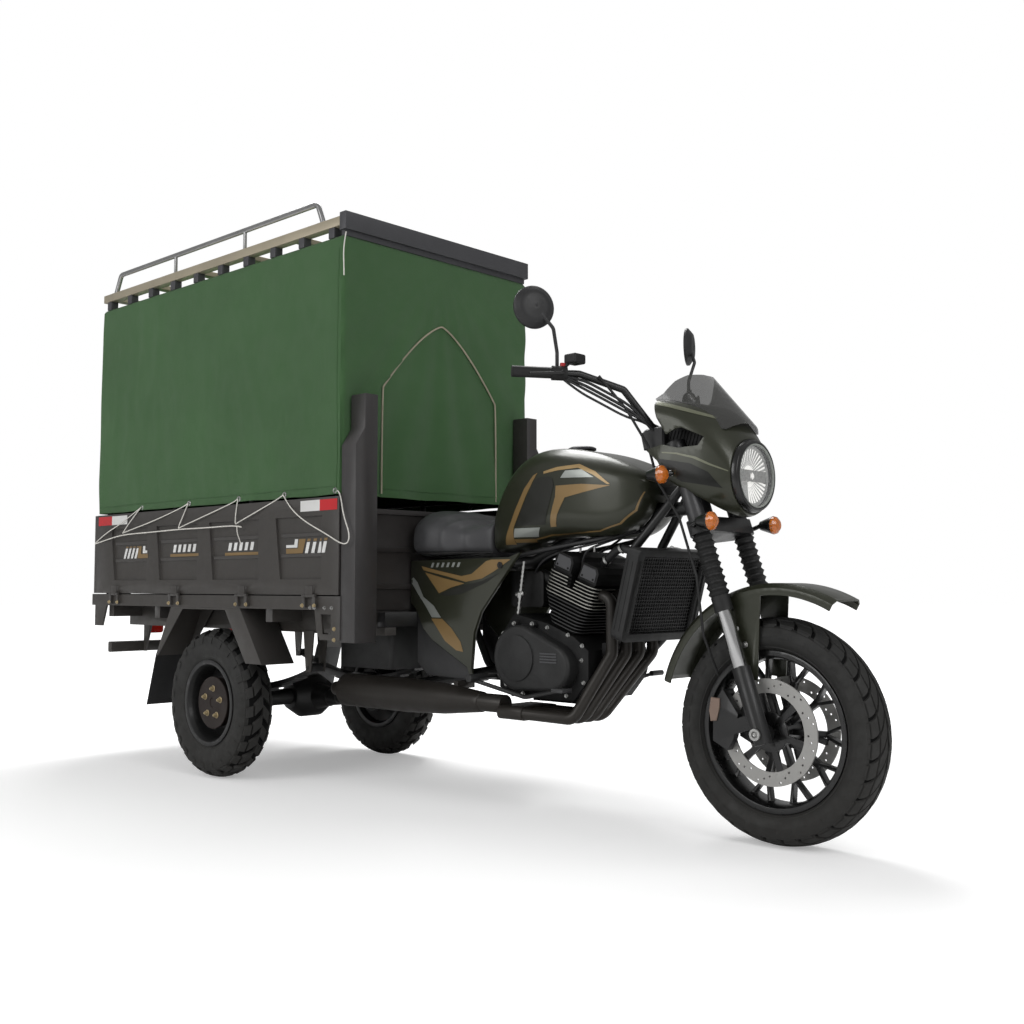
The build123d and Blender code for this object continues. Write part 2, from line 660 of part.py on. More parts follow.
def crankcase():
    """The case under the cylinders, seen from the side, with a lug at each end."""
    rear = spot(CYL, -BARREL_REAR - FIN_OUT, 0, 0)
    front = spot(CYL, BARREL_FRONT + FIN_OUT, 0, 0)
    points = [(CASE_REAR, 400), (CASE_REAR, 560), (1300, 640), (rear.X, rear.Z), (front.X, front.Z),
              (CASE_FRONT, 530), (CASE_FRONT, 440), (CASE_FRONT - 60, CASE_Z), (1290, CASE_Z)]
    case = side_plate(points, -CASE_HALF, CASE_HALF)
    sump = block((1330, CASE_FRONT - 80), (-90, 90), (CASE_Z - 14, CASE_Z))
    return case + sump


def engine_covers():
    """The clutch cover on the right and the generator cover on the left."""
    big, small = (1356, 500, 106), (1500, 474, 74)
    circles = [Pos(x, z) * Circle(r) for x, z, r in (big, small)]
    flat = make_hull((circles[0] + circles[1]).edges())
    plane = Plane(origin=(0, -CASE_HALF, 0), x_dir=(1, 0, 0), z_dir=(0, -1, 0))
    clutch = extrude(plane * flat, 50)
    clutch = fillet(clutch.faces().sort_by(Axis.Y)[0].edges(), 14)
    clutch += rod((big[0], -CASE_HALF - 48, big[1]), (big[0], -CASE_HALF - 56, big[1]), big[2] - 32)
    left = rod((1380, CASE_HALF, 500), (1380, CASE_HALF + 44, 500), 98)
    left = fillet(left.faces().sort_by(Axis.Y)[-1].edges(), 12)
    drive = rod((1540, CASE_HALF, 470), (1540, CASE_HALF + 26, 470), 62)
    ring = big[2] + 10
    bolts = [rod((big[0] + ring * cos(radians(a)), -CASE_HALF, big[1] + ring * sin(radians(a))),
                 (big[0] + ring * cos(radians(a)), -CASE_HALF - 18, big[1] + ring * sin(radians(a))), 9)
             for a in range(70, 311, 40)]
    return [clutch + bolts, left + drive]


COLLECTOR_REAR = 1300.0


def exhaust_headers():
    """Four pipes from the head, down behind the radiator and back to a collector."""
    pipes = []
    start = spot(CYL, HEAD_FRONT + FIN_OUT + SEAT_GAP, 0, PORT_Z)
    knee = spot(CYL, HEAD_FRONT + FIN_OUT + 42, 0, PORT_Z)
    for k in range(4):
        y = (k - 1.5) * PIPE_PITCH
        y_low = MUFFLER_Y - 20 + k * 46
        points = [(start.X, y, start.Z), (knee.X, y, knee.Z), (CASE_FRONT + 58, y, 520),
                  (CASE_FRONT - 10, y_low, 324), (1400, y_low, 326)]
        pipes.append(tube(points, PIPE_R, 34))
    collector = block((COLLECTOR_REAR, 1405), (MUFFLER_Y - 42, MUFFLER_Y + 138), (304, 348))
    collector = fillet(collector.edges().filter_by(Axis.X), 18)
    return pipes[0] + pipes[1:] + [collector]


def muffler():
    """A long silencer under the right side, with a cone at each end and a hanger."""
    y, z = MUFFLER_Y, MUFFLER_Z
    rear, length = 420.0, COLLECTOR_REAR - SEAT_GAP - 420.0
    points = [(0, 24), (19, 24), (19, 0), (25, 0), (30, 40), (MUFFLER_R, 72), (MUFFLER_R, 400), (52, 600),
              (34, length - 105), (30, length - 103), (30, length), (0, length)]
    can = turned(points, (rear, y, z), (1, 0, 0))
    under_rail = 430 - RAIL_R - SEAT_GAP
    hanger = block((1060, 1080), (y - 4, 6 - RAIL_Y), (z + 36, under_rail - 6))
    pad = block((1060, 1080), (-RAIL_Y - 6, 6 - RAIL_Y), (under_rail - 7, under_rail))
    return can + hanger + pad


RAD_Z = 705.0
RAD_TILT = 15.0
RAD_HALF = 190.0
RAD_H = 285.0
RAD_D = 44.0
RAD_BACK = 6.0
RAD_CLEAR = 31.0          # gap between the down tubes and the radiator


def radiator():
    """The core behind a square mesh, in a shroud with side tanks."""
    (x1, _, z1), (x0, _, z0) = DOWN_TOP, DOWN_LOW
    tube_x = x0 + (RAD_Z - z0) / (z1 - z0) * (x1 - x0)
    place = Pos(tube_x + DOWN_R + RAD_CLEAR + RAD_BACK + RAD_D / 2, 0, RAD_Z) * Rot(0, RAD_TILT, 0)
    half_h = RAD_H / 2
    frame = block((-RAD_D / 2, RAD_D / 2), (-RAD_HALF, RAD_HALF), (-half_h, half_h))
    frame = fillet(frame.edges().filter_by(Axis.X), 22)
    opening = block((-RAD_D, RAD_D), (34 - RAD_HALF, RAD_HALF - 34), (24 - half_h, half_h - 20))
    core = block((-RAD_D / 2 + 6, RAD_D / 2 - 12), (34 - RAD_HALF, RAD_HALF - 34),
                 (24 - half_h, half_h - 20))
    wires = []
    for k in range(11):
        y = 34 - RAD_HALF + (k + 0.5) * (2 * RAD_HALF - 68) / 11
        wires.append(block((RAD_D / 2 - 12, RAD_D / 2 - 8), (y - 2, y + 2), (24 - half_h, half_h - 20)))
    for k in range(10):
        z = 24 - half_h + (k + 0.5) * (RAD_H - 44) / 10
        wires.append(block((RAD_D / 2 - 12, RAD_D / 2 - 8), (34 - RAD_HALF, RAD_HALF - 34), (z - 2, z + 2)))
    ribs = [block((-RAD_D / 2, RAD_D / 2 + 5), (s * (RAD_HALF - 22), s * (RAD_HALF - 16)), (-110, 110))
            for s in (-1, 1)]
    bar = block((-RAD_D / 2 - RAD_BACK, -RAD_D / 2), (-RAD_HALF + 12, RAD_HALF - 12), (50, 70))
    top, low = spot(place.inverse(), *DOWN_TOP), spot(place.inverse(), *DOWN_LOW)
    behind = low.X + (60 - low.Z) / (top.Z - low.Z) * (top.X - low.X)
    arm = rod((-RAD_D / 2, PIPE_PITCH, 60), (behind + DOWN_R + 1.6, PIPE_PITCH, 60), 7)
    return place * (core + wires), place * (frame - opening + ribs + bar + both(arm))


# Tank stations: place along X, half width, bottom, top and corner radius
TANK = ((1155, 92, 846, 992, 40), (1215, 116, 852, 1078, 52), (1310, 134, 868, 1158, 66),
        (1450, 150, 888, 1181, 84), (1640, 147, 884, 1144, 80), (1745, 122, 922, 1102, 58),
        (1800, 76, 1000, 1072, 32))
SEAT = ((822, 184, SEAT_Z, 984, 50), (880, 206, SEAT_Z, 1003, 60), (965, 196, SEAT_Z, 984, 54),
        (1062, 150, SEAT_Z, 940, 46), (1149, 98, SEAT_Z, 966, 44))
CAP_AT = (1470.0, 0.0, 1179.0)
TUNNEL_GAP = 6.0          # room round the backbone in the tank's underside
CAP_R = 46.0


def stations(rows):
    """A smooth body through rounded sections across the vehicle."""
    sections = []
    for x, half, low, top, corner in rows:
        plane = Plane(origin=(x, 0, (low + top) / 2), x_dir=(0, 1, 0), z_dir=(1, 0, 0))
        sections.append(plane * RectangleRounded(2 * half, top - low, corner))
    return loft(sections)


def fuel_tank():
    """The tank, with a tunnel below for the backbone and a flat seat for its cap."""
    x, y, z = CAP_AT
    room = BACKBONE_R + TUNNEL_GAP
    (x0, z0), (x1, z1), (x2, z2) = BACKBONE[:3]
    roof = [(x0 + 120, z0 + room), (x0, z0 + room), (x1, z1 + room), (x2, z2 + room)]
    tunnel = side_plate(roof + [(x2, z2 - 90), (x0 + 120, z2 - 90)], -room, room)
    return stations(TANK) - tunnel - rod(CAP_AT, (x, y, z + 60), CAP_R + 3)


def fuel_cap():
    """The filler cap on the tank."""
    return turned([(0, SEAT_GAP), (CAP_R, SEAT_GAP), (CAP_R, 7), (CAP_R - 8, 11), (0, 13)], CAP_AT)


# Lower edge of the painted side panels, from the front to the rear
PANEL_LOW = ((1106, 458), (1010, 506), (930, 546), (886, 584), (CROSS_REAR + 42, 646))
PANEL_FRONT = ((1345, 840), (1266, 752), (1170, 645), (1138, 575), (1122, 424))


def side_panels():
    """Painted covers under the seat, one each side."""
    rear = CROSS_REAR + 12
    points = [(rear, 820), (1300, 826)] + list(PANEL_FRONT) + list(PANEL_LOW) + [(rear, 672)]
    return both(side_plate(points, PANEL_Y, PANEL_Y + PANEL_T))


def lower_covers():
    """Dark covers below the painted ones."""
    (x, z), gap = PANEL_FRONT[-1], 3.0
    edge = [(px - gap, pz - gap) for px, pz in PANEL_LOW]
    points = [(x - 8, z - 8)] + edge[:-1]
    points += [(PANEL_LOW[-1][0], edge[-1][1]), (PANEL_LOW[-1][0], z + 40), (905, z - 4)]
    return both(side_plate(points, PANEL_Y - 6, PANEL_Y + PANEL_T - 6))


def foot_controls():
    """Pegs on the lower rails, the brake pedal and the gear pedal."""
    inner = RAIL_Y + RAIL_R + SEAT_GAP
    peg = rod((1200, inner, 430), (1200, 190, 430), 8) + rod((1200, 176, 430), (1200, 262, 430), 13)
    brake = tube([(1200, -228, 420), (1420, -228, 380), (1580, -228, 412)], 7, 40)
    tread = block((1560, 1604), (-262, -216), (406, 418))
    shift = tube([(1200, 220, 420), (1420, 220, 386), (1590, 220, 440)], 6, 40)
    toe = rod((1588, 212, 440), (1588, 272, 440), 9)
    return both(peg) + brake + tread + shift + toe


def battery_box():
    """A box under the bed's front cross-beam."""
    box = fillet(block((450, 745), (-200, 200), (432, 600)).edges().filter_by(Axis.Z), 16)
    lid = block((470, 725), (-202, 202), (560, 566))
    return box + lid


# Rear axle, springs and shaft
NOSE_X = 150.0


def rear_axle():
    """Axle tube, differential, brake plates, spring seats and stubs."""
    stub = TRACK / 2 + DISH_Y - 2
    plate_y = TRACK / 2 - DRUM_IN - 6
    tube_part = bar_on_y(AXLE_R, -plate_y, plate_y)
    spin = [(0, -105), (52, -96), (86, -40), (86, 40), (52, 96), (0, 105)]
    diff = turned(spin, axis_dir=(0, 1, 0))
    nose = rod((70, 0, 0), (NOSE_X, 0, 0), 52, 36)
    plates = bar_on_y(DRUM_R - 4, plate_y - 8, plate_y)
    stubs = bar_on_y(REAR_STUB_R, plate_y - 10, stub)
    pad = block((-45, 45), (BEAM_Y - 30, BEAM_Y + 30), (0, AXLE_R + 2))
    return Pos(0, 0, REAR_R) * (tube_part + diff + nose + both(plates + stubs) + both(pad))


def leaf_pack():
    """Four leaves of falling length under one another, clamped in the middle."""
    leaves = []
    sag = LEAF_EYE_Z - (REAR_R + AXLE_R + 2 + 4 * LEAF_T)
    big_r = (LEAF_EYE_X ** 2 + sag ** 2) / (2 * sag)
    top_z = REAR_R + AXLE_R + 2 + 4 * LEAF_T
    for k, half in enumerate((LEAF_EYE_X, 350.0, 260.0, 170.0)):
        z = top_z - k * LEAF_T
        rise = big_r - sqrt(big_r ** 2 - half ** 2)
        edge = [ThreePointArc((-half, z + rise), (0, z), (half, z + rise)),
                Line((half, z + rise), (half, z + rise - LEAF_T)),
                ThreePointArc((half, z + rise - LEAF_T), (0, z - LEAF_T), (-half, z + rise - LEAF_T)),
                Line((-half, z + rise - LEAF_T), (-half, z + rise))]
        plane = Plane(origin=(0, LEAF_W / 2, 0), x_dir=(1, 0, 0), z_dir=(0, -1, 0))
        leaves.append(extrude(plane * make_face(edge), LEAF_W))
    eyes = [rod((s * LEAF_EYE_X, -LEAF_W / 2, LEAF_EYE_Z), (s * LEAF_EYE_X, LEAF_W / 2, LEAF_EYE_Z), 16)
            for s in (-1, 1)]
    clamp = block((-42, 42), (-LEAF_W / 2 - 4, LEAF_W / 2 + 4), (top_z, top_z + 10))
    pins = [rod((s * LEAF_EYE_X, -34, LEAF_EYE_Z), (s * LEAF_EYE_X, 34, LEAF_EYE_Z), 7) for s in (-1, 1)]
    return leaves[0] + leaves[1:] + eyes + [clamp] + pins


def leaf_springs():
    """A spring on each side, over the axle."""
    return both(Pos(0, BEAM_Y, 0) * leaf_pack())


def drive_shaft():
    """The shaft from the gearbox back to the axle."""
    front, rear = CASE_REAR - SEAT_GAP, NOSE_X + SEAT_GAP
    joint = 55.0
    shaft = rod((front - joint + 8, 0, 455), (rear + joint - 8, 0, REAR_R), 20)
    front_joint = rod((front, 0, 455), (front - joint, 0, 455), 34, 28)
    rear_joint = rod((rear, 0, REAR_R), (rear + joint, 0, REAR_R), 34, 28)
    return shaft + front_joint + rear_joint


# Bed
def bed_frame():
    """Main beams, cross-beams, edge rails, spring hangers and corner brackets."""
    beam = block((BED_REAR + 10, 850), (BEAM_Y - BEAM_W / 2, BEAM_Y + BEAM_W / 2), (BEAM_Z, BEAM_Z + BEAM_H))
    beam -= block((808, 852), (BEAM_Y - BEAM_W, BEAM_Y + BEAM_W), (588, 642))
    rail = block((BED_REAR, GUARD_X), (BED_HALF - RAIL_W, BED_HALF), (RAIL_Z, RAIL_TOP))
    inner = BED_HALF - RAIL_W
    under = RAIL_TOP - FLOOR_T
    crosses = [block((x - 20, x + 20), (-inner, inner), (600, under)) for x in CROSS_X]
    rear_rail = block((BED_REAR - GATE_T - 6, BED_REAR + 8), (-BED_HALF, BED_HALF), (RAIL_Z, RAIL_TOP))
    front_rail = block((GUARD_X - 24, GUARD_X), (-inner, inner), (600, under))
    hanger = [(-30, BEAM_Z + 4), (30, BEAM_Z + 4), (14, LEAF_EYE_Z - 16), (-14, LEAF_EYE_Z - 16)]
    hangers = []
    for x in (-LEAF_EYE_X, LEAF_EYE_X):
        at = [(px + x, pz) for px, pz in hanger]
        for y in (BEAM_Y - 34, BEAM_Y + 28):
            plate = side_plate(at, y, y + 6)
            hangers.append(plate - rod((x, y - 1, LEAF_EYE_Z), (x, y + 7, LEAF_EYE_Z), 7.3))
    caps = [block((x - 30, x + 30), (BEAM_Y - 34, BEAM_Y + 34), (BEAM_Z - 2, BEAM_Z + 6))
            for x in (-LEAF_EYE_X, LEAF_EYE_X)]
    front_bracket = side_plate([(660, RAIL_Z), (GUARD_X, RAIL_Z), (GUARD_X, 546), (690, 546), (672, 580)],
                               BED_HALF - 8, BED_HALF)
    front_bracket -= side_plate([(694, RAIL_Z - 14), (752, RAIL_Z - 14), (752, 566), (706, 566)],
                                BED_HALF - 9, BED_HALF + 1)
    rear_bracket = side_plate([(BED_REAR - 5, RAIL_Z), (BED_REAR + 95, RAIL_Z), (BED_REAR + 60, 560),
                               (BED_REAR - 5, 560)], BED_HALF - 8, BED_HALF)
    side = beam + rail + hangers + caps + front_bracket + rear_bracket
    frame = both(side) + crosses + [rear_rail, front_rail]
    return frame + hinge_parts("frame")


def bed_floor():
    """The floor sheet between the edge rails."""
    inner = BED_HALF - RAIL_W - SEAT_GAP
    sheet = block((BED_REAR + 8 + SEAT_GAP, GUARD_X - 0.5), (-inner, inner), (RAIL_TOP - FLOOR_T, RAIL_TOP))
    return sheet


# Hinges along the bottom of each gate: places along the gate
SIDE_HINGES = (-720.0, -240.0, 230.0, 640.0)
TAIL_HINGES = (-330.0, 0.0, 330.0)
KNUCKLE = 20.0
LUG = 16.0
KNUCKLE_GAP = 1.0


def side_hinge(x, part):
    """One hinge of the right side gate: the gate's knuckle, or the rail's two lugs and pin."""
    y, z = -BED_HALF - HINGE_OUT, HINGE_Z
    if part == "gate":
        barrel = rod((x - KNUCKLE, y, z), (x + KNUCKLE, y, z), HINGE_R)
        strap = block((x - KNUCKLE, x + KNUCKLE), (y - 3, -BED_HALF), (z, z + 34))
        strap -= block((x - KNUCKLE, x + KNUCKLE), (y + 3, -BED_HALF), (z - 1, GATE_Z))
        return barrel + strap - rod((x - KNUCKLE - 1, y, z), (x + KNUCKLE + 1, y, z), PIN_R + SEAT_GAP)
    reach = KNUCKLE + KNUCKLE_GAP
    pieces = [rod((x - reach - LUG, y, z), (x + reach + LUG, y, z), PIN_R)]
    for x0 in (x - reach - LUG, x + reach):
        pieces.append(rod((x0, y, z), (x0 + LUG, y, z), HINGE_R))
        pieces.append(block((x0, x0 + LUG), (y - 3, -BED_HALF + 1), (RAIL_Z + 8, RAIL_TOP - 4)))
    return pieces[0] + pieces[1:]


TAIL_X = BED_REAR - 6.0


def tail_hinge(y, part):
    """One hinge of the tailgate: the side hinge, turned to the rear."""
    return Pos(TAIL_X - GATE_T, y, 0) * Rot(0, 0, -90) * Pos(0, BED_HALF, 0) * side_hinge(0.0, part)


def hinge_parts(part):
    """All hinge pieces of one part, on the rails."""
    right = [side_hinge(x, part) for x in SIDE_HINGES]
    left = [mirror(h, about=Plane.XZ) for h in right]
    tail = [tail_hinge(y, part) for y in TAIL_HINGES]
    return right + left + tail


# Side gate recesses: rear and front ends, and how far the lower rear corner slants
RECESSES = ((-770, -470, 30), (-400, -90, 30), (-10, 320, 30), (425, 695, 30))


def side_gate():
    """The right drop side: a panel with four ribbed recesses and its hinge knuckles."""
    gate = block((BED_REAR, BED_FRONT), (-BED_HALF, -BED_HALF + GATE_T), (GATE_Z, GATE_TOP))
    for x0, x1, slant in RECESSES:
        points = [(x0, RECESS_TOP), (x1, RECESS_TOP), (x1, RECESS_Z), (x0 + slant, RECESS_Z)]
        gate -= side_plate(points, -BED_HALF - 1, -BED_HALF + RECESS_DEPTH)
        for z in (RECESS_Z + 78, RECESS_Z + 150):
            gate += block((x0 + slant, x1 - 4), (-BED_HALF + RECESS_DEPTH - 5, -BED_HALF + RECESS_DEPTH + 1),
                          (z, z + 12))
    return gate + [side_hinge(x, "gate") for x in SIDE_HINGES]


def tailgate():
    """The tailgate, with two recesses, its latches and its hinge knuckles."""
    half = BED_HALF - 6
    gate = block((TAIL_X - GATE_T, TAIL_X), (-half, half), (GATE_Z, GATE_TOP))
    for y0, y1 in ((42 - half, -30), (30, half - 42)):
        gate -= block((TAIL_X - GATE_T - 1, TAIL_X - GATE_T + RECESS_DEPTH), (y0, y1), (RECESS_Z, RECESS_TOP))
        for z in (RECESS_Z + 78, RECESS_Z + 150):
            gate += block((TAIL_X - GATE_T + 5, TAIL_X - GATE_T + RECESS_DEPTH + 1), (y0, y1), (z, z + 12))
    latch = block((TAIL_X - GATE_T - 9, TAIL_X - GATE_T), (half - 34, half - 10), (800, 905))
    return gate + both(latch) + [tail_hinge(y, "gate") for y in TAIL_HINGES]


def front_guard():
    """The bed's front wall and its two tall posts."""
    mid = (GUARD_IN + GUARD_OUT) / 2
    points = [(GUARD_IN, GUARD_Z), (GUARD_OUT, GUARD_Z), (GUARD_OUT, GUARD_SHOULDER - 60),
              (mid + 8, GUARD_SHOULDER), (mid + 8, GUARD_TOP), (GUARD_IN, GUARD_TOP)]
    post = end_plate(points, GUARD_X, GUARD_X + GUARD_DEPTH)
    x0 = GUARD_X + 6
    post -= block((x0, GUARD_X + GUARD_DEPTH - 6), (GUARD_IN + 6, GUARD_OUT - 6), (GUARD_Z - 1, GUARD_SHOULDER - 80))
    wall = block((GUARD_X, GUARD_X + 8), (-GUARD_IN, GUARD_IN), (RAIL_TOP - 50, 1000))
    ribs = [block((GUARD_X, GUARD_X + 16), (-GUARD_IN, GUARD_IN), (z, z + 18)) for z in (720, 850, 982)]
    ears = block((GUARD_X, GUARD_X + 8), (GUARD_IN - 20, GUARD_IN + 1), (GUARD_Z, 1000))
    return both(post + ears) + [wall] + ribs


# Canopy
BOW_X = (-860.0, -320.0, 215.0, 750.0)


def canopy_frame():
    """Bows of round tube that stand on the floor, with long rails between them."""
    y, top = BED_HALF - GATE_T - POST_R - 5, TARP_TOP - TARP_T - POST_R - SEAT_GAP
    bows = [tube([(x, -y, RAIL_TOP), (x, -y, top), (x, y, top), (x, y, RAIL_TOP)], POST_R, 30) for x in BOW_X]
    rails = []
    for z in (1080.0, 1500.0):
        rails += [rod((BOW_X[0], s * y, z), (BOW_X[-1], s * y, z), 8) for s in (-1, 1)]
    rails.append(rod((BOW_X[0], 0, top), (BOW_X[-1], 0, top), 8))
    return bows[0] + bows[1:] + rails


def tarp():
    """The cover over the bows: a thin box, open below."""
    outer = block((TARP_REAR, TARP_FRONT), (-TARP_HALF, TARP_HALF), (TARP_Z, TARP_TOP))
    inner = block((TARP_REAR + TARP_T, TARP_FRONT - TARP_T), (TARP_T - TARP_HALF, TARP_HALF - TARP_T),
                  (TARP_Z - 1, TARP_TOP - TARP_T))
    return fillet(outer.edges().filter_by(Axis.Z), 10) - inner


def roof_beams():
    """Long side beams on spacer blocks, with slats and a strip across each end."""
    low = TARP_TOP + BLOCK_H
    edge = TARP_HALF - 2
    beam = block((TARP_REAR, TARP_FRONT - 24), (edge - ROOF_BEAM_W, edge), (low, low + ROOF_BEAM_H))
    slats = [block((x, x + 40), (-edge + 4, edge - 4), (low + 2, low + 22))
             for x in (-860, -530, -200, 130, 460)]
    return both(beam) + slats


def roof_blocks():
    """Dark spacer blocks under the beams and the strips across the ends."""
    low = TARP_TOP + BLOCK_H
    count = 10
    step = (TARP_FRONT - TARP_REAR - 120) / (count - 1)
    blocks = [block((TARP_REAR + 30 + k * step, TARP_REAR + 62 + k * step), (s * 430, s * 464), (TARP_TOP, low))
              for k in range(count) for s in (-1, 1)]
    strip = block((TARP_FRONT - 24 + SEAT_GAP, TARP_FRONT + 10), (-TARP_HALF, TARP_HALF), (TARP_TOP + 19, low + 45))
    foot = block((TARP_FRONT - 22, TARP_FRONT - 4), (-460, 460), (TARP_TOP, TARP_TOP + 20))
    return blocks[0] + blocks[1:] + [strip, foot]


def roof_rack():
    """A raised tube along each side of the roof."""
    low = TARP_TOP + BLOCK_H + ROOF_BEAM_H
    top = low + RACK_RISE
    rail = tube([(RACK_REAR, RACK_HALF, low + 5), (RACK_REAR + 41, RACK_HALF, top),
                 (RACK_FRONT - 34, RACK_HALF, top), (RACK_FRONT, RACK_HALF, low + 5)], RACK_R, 24)
    mids = [rod((x, RACK_HALF, low), (x, RACK_HALF, top), 7) for x in (-350, 150)]
    feet = [block((x - 18, x + 18), (RACK_HALF - 14, RACK_HALF + 14), (low, low + 6))
            for x in (RACK_REAR, RACK_FRONT)]
    return both(rail + mids + feet)


# Mudguards
GUARD_SHEET = 4.0
ARCH_TOP = RAIL_Z - SEAT_GAP
ARCH = ((-385, 451), (-276, ARCH_TOP), (206, ARCH_TOP), (349, 445))
ARCH_IN = ((248, 445), (107, ARCH_TOP - 7), (-191, ARCH_TOP - 7), (-368, 451))
FLAP_LOW = (-452.0, 246.0)
ARCH_INNER = TRACK / 2 - REAR_W / 2 - 23


def mudguards():
    """A bent strip over each rear wheel, with a wide flange at its outer side."""
    inner = ARCH_INNER
    pieces = []
    for (x0, z0), (x1, z1) in zip(ARCH, ARCH[1:]):
        length = sqrt((x1 - x0) ** 2 + (z1 - z0) ** 2)
        nx, nz = (z1 - z0) / length * GUARD_SHEET, -(x1 - x0) / length * GUARD_SHEET
        points = [(x0, z0), (x1, z1), (x1 + nx, z1 + nz), (x0 + nx, z0 + nz)]
        pieces.append(side_plate(points, inner, BED_HALF - 3))
    flange = side_plate(list(ARCH) + list(ARCH_IN), BED_HALF - 3, BED_HALF)
    lip = side_plate(list(ARCH) + list(ARCH_IN), inner, inner + 3)
    return both(pieces[0] + pieces[1:] + [flange, lip])


def mud_flaps():
    """Flat flaps that hang behind the rear wheels."""
    low, high = Vector(*ARCH[0]), Vector(*ARCH[1])
    up = (high - low).normalized()
    out = Vector(-up.Y, up.X)
    face = [low + out * SEAT_GAP + up * 20, low + out * SEAT_GAP, Vector(*FLAP_LOW)]
    back = [p + out * GUARD_SHEET for p in reversed(face)]
    return both(side_plate([(p.X, p.Y) for p in face + back], ARCH_INNER + 2, BED_HALF - 2))


def rear_bumper():
    """A bar on two plates that hang from the bed's rear cross-beam."""
    bar = block((-925, -893), (-400, 400), (440, 486))
    bar = fillet(bar.edges().filter_by(Axis.Y), 8)
    beam = CROSS_X[0] - 20 - SEAT_GAP
    plate = side_plate([(-892, RAIL_Z - SEAT_GAP), (-850, RAIL_Z - SEAT_GAP), (beam, 630), (beam, 602),
                        (-880, 440), (-894, 440)], 236, 246)
    return bar + both(plate)


def tail_lamps():
    """A round lamp on each hanger plate."""
    body = fillet(block((-902, -868), (164, 235.5), (520, 585)).edges().filter_by(Axis.X), 12)
    return both(body)


rear_left, tyre_left = rear_wheel(1)
rear_right, tyre_right = rear_wheel(-1)
lamp_body, lamp_lens = headlamp()
indicator_bodies, indicator_lenses = indicators()
core, shroud = radiator()
covers = engine_covers()
gate = side_gate()

PARTS = {
    "chassis_frame": frame_tubes(),
    "crankcase": crankcase(),
    "cylinders": cylinders(),
    "air_box": air_box(),
    "engine_covers": covers[0] + covers[1],
    "exhaust_headers": exhaust_headers(),
    "muffler": muffler(),
    "radiator_core": core,
    "radiator_shroud": shroud,
    "fuel_tank": fuel_tank(),
    "fuel_cap": fuel_cap(),
    "seat": stations(SEAT),
    "side_panels": side_panels(),
    "lower_covers": lower_covers(),
    "foot_controls": foot_controls(),
    "battery_box": battery_box(),
    "rear_axle": rear_axle(),
    "leaf_springs": leaf_springs(),
    "drive_shaft": drive_shaft(),
    "bed_frame": bed_frame(),
    "bed_floor": bed_floor(),
    "bed_front_guard": front_guard(),
    "canopy_frame": canopy_frame(),
    "tarp": tarp(),
    "roof_blocks": roof_blocks(),
    "roof_beams": roof_beams(),
    "roof_rack": roof_rack(),
    "mudguards": mudguards(),
    "mud_flaps": mud_flaps(),
    "rear_bumper": rear_bumper(),
    "tail_lamps": tail_lamps(),
    "fork_sliders": fork_sliders(),
    "fork_tubes": fork_tubes(),
    "fork_gaiters": fork_gaiters(),
    "yokes": yokes(),
    "calipers": calipers(),
    "front_fender": front_fender(),
    "headlamp_body": lamp_body,
    "headlamp_lens": lamp_lens,
    "fairing": fairing(),
    "windscreen": windscreen(),
    "instrument_pod": instrument(),
    "indicator_bodies": indicator_bodies,
    "indicator_lenses": indicator_lenses,
    "handlebar": handlebar(),
    "bar_controls": bar_controls(),
    "mirrors": mirrors(),
    "brake_hoses": brake_hoses(),
    "front_rim": front_rim(),
    "front_tyre": front_tyre(),
    "brake_discs": brake_discs(),
    "rear_rim_left": rear_left,
    "rear_tyre_left": tyre_left,
    "rear_rim_right": rear_right,
    "rear_tyre_right": tyre_right,
    "side_gate_right": gate,
    "side_gate_left": mirror(gate, about=Plane.XZ),
    "tailgate": tailgate(),
}

os.makedirs("parts", exist_ok=True)
for name, shape in PARTS.items():
    export_step(Pos(-MIDDLE_X, 0, 0) * shape, f"parts/{name}.step")
print("origin moved forward by", MIDDLE_X)
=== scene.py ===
"""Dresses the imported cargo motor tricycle: paint, cloth, tread, lamps, ropes and stripes.

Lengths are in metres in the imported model's frame: +X forward, +Y to the rider's left, +Z up.
"""
import logging
import math
from collections.abc import Callable, Iterable, Sequence
from dataclasses import dataclass, field
from enum import Enum

import bmesh
import bpy
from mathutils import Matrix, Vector, noise
from mathutils.bvhtree import BVHTree

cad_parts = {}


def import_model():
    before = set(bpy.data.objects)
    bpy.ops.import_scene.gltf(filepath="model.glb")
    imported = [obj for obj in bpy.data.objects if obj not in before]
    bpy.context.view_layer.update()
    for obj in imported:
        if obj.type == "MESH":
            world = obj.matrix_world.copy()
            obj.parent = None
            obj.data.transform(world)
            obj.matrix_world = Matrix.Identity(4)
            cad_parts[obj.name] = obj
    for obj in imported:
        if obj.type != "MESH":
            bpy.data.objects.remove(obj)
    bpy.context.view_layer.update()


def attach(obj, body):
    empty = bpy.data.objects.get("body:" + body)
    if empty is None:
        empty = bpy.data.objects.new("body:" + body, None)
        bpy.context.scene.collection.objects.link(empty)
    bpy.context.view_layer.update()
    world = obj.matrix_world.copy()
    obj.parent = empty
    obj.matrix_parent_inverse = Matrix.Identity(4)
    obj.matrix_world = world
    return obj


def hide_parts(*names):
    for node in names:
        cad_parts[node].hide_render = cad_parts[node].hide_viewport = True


LOG = logging.getLogger("tricycle")
Point = tuple[float, float, float]
Flat = tuple[float, float]
Outline = tuple[Flat, ...]
Shape = tuple[list[Vector], list[list[int]]]

FRONT_RADIUS = 0.322
REAR_RADIUS = 0.284
FRONT_AXLE: Point = (1.410, 0.0, FRONT_RADIUS)
REAR_AXLE_X = -0.790
HALF_TRACK = 0.420
OUTWARD_PUSH = 0.8


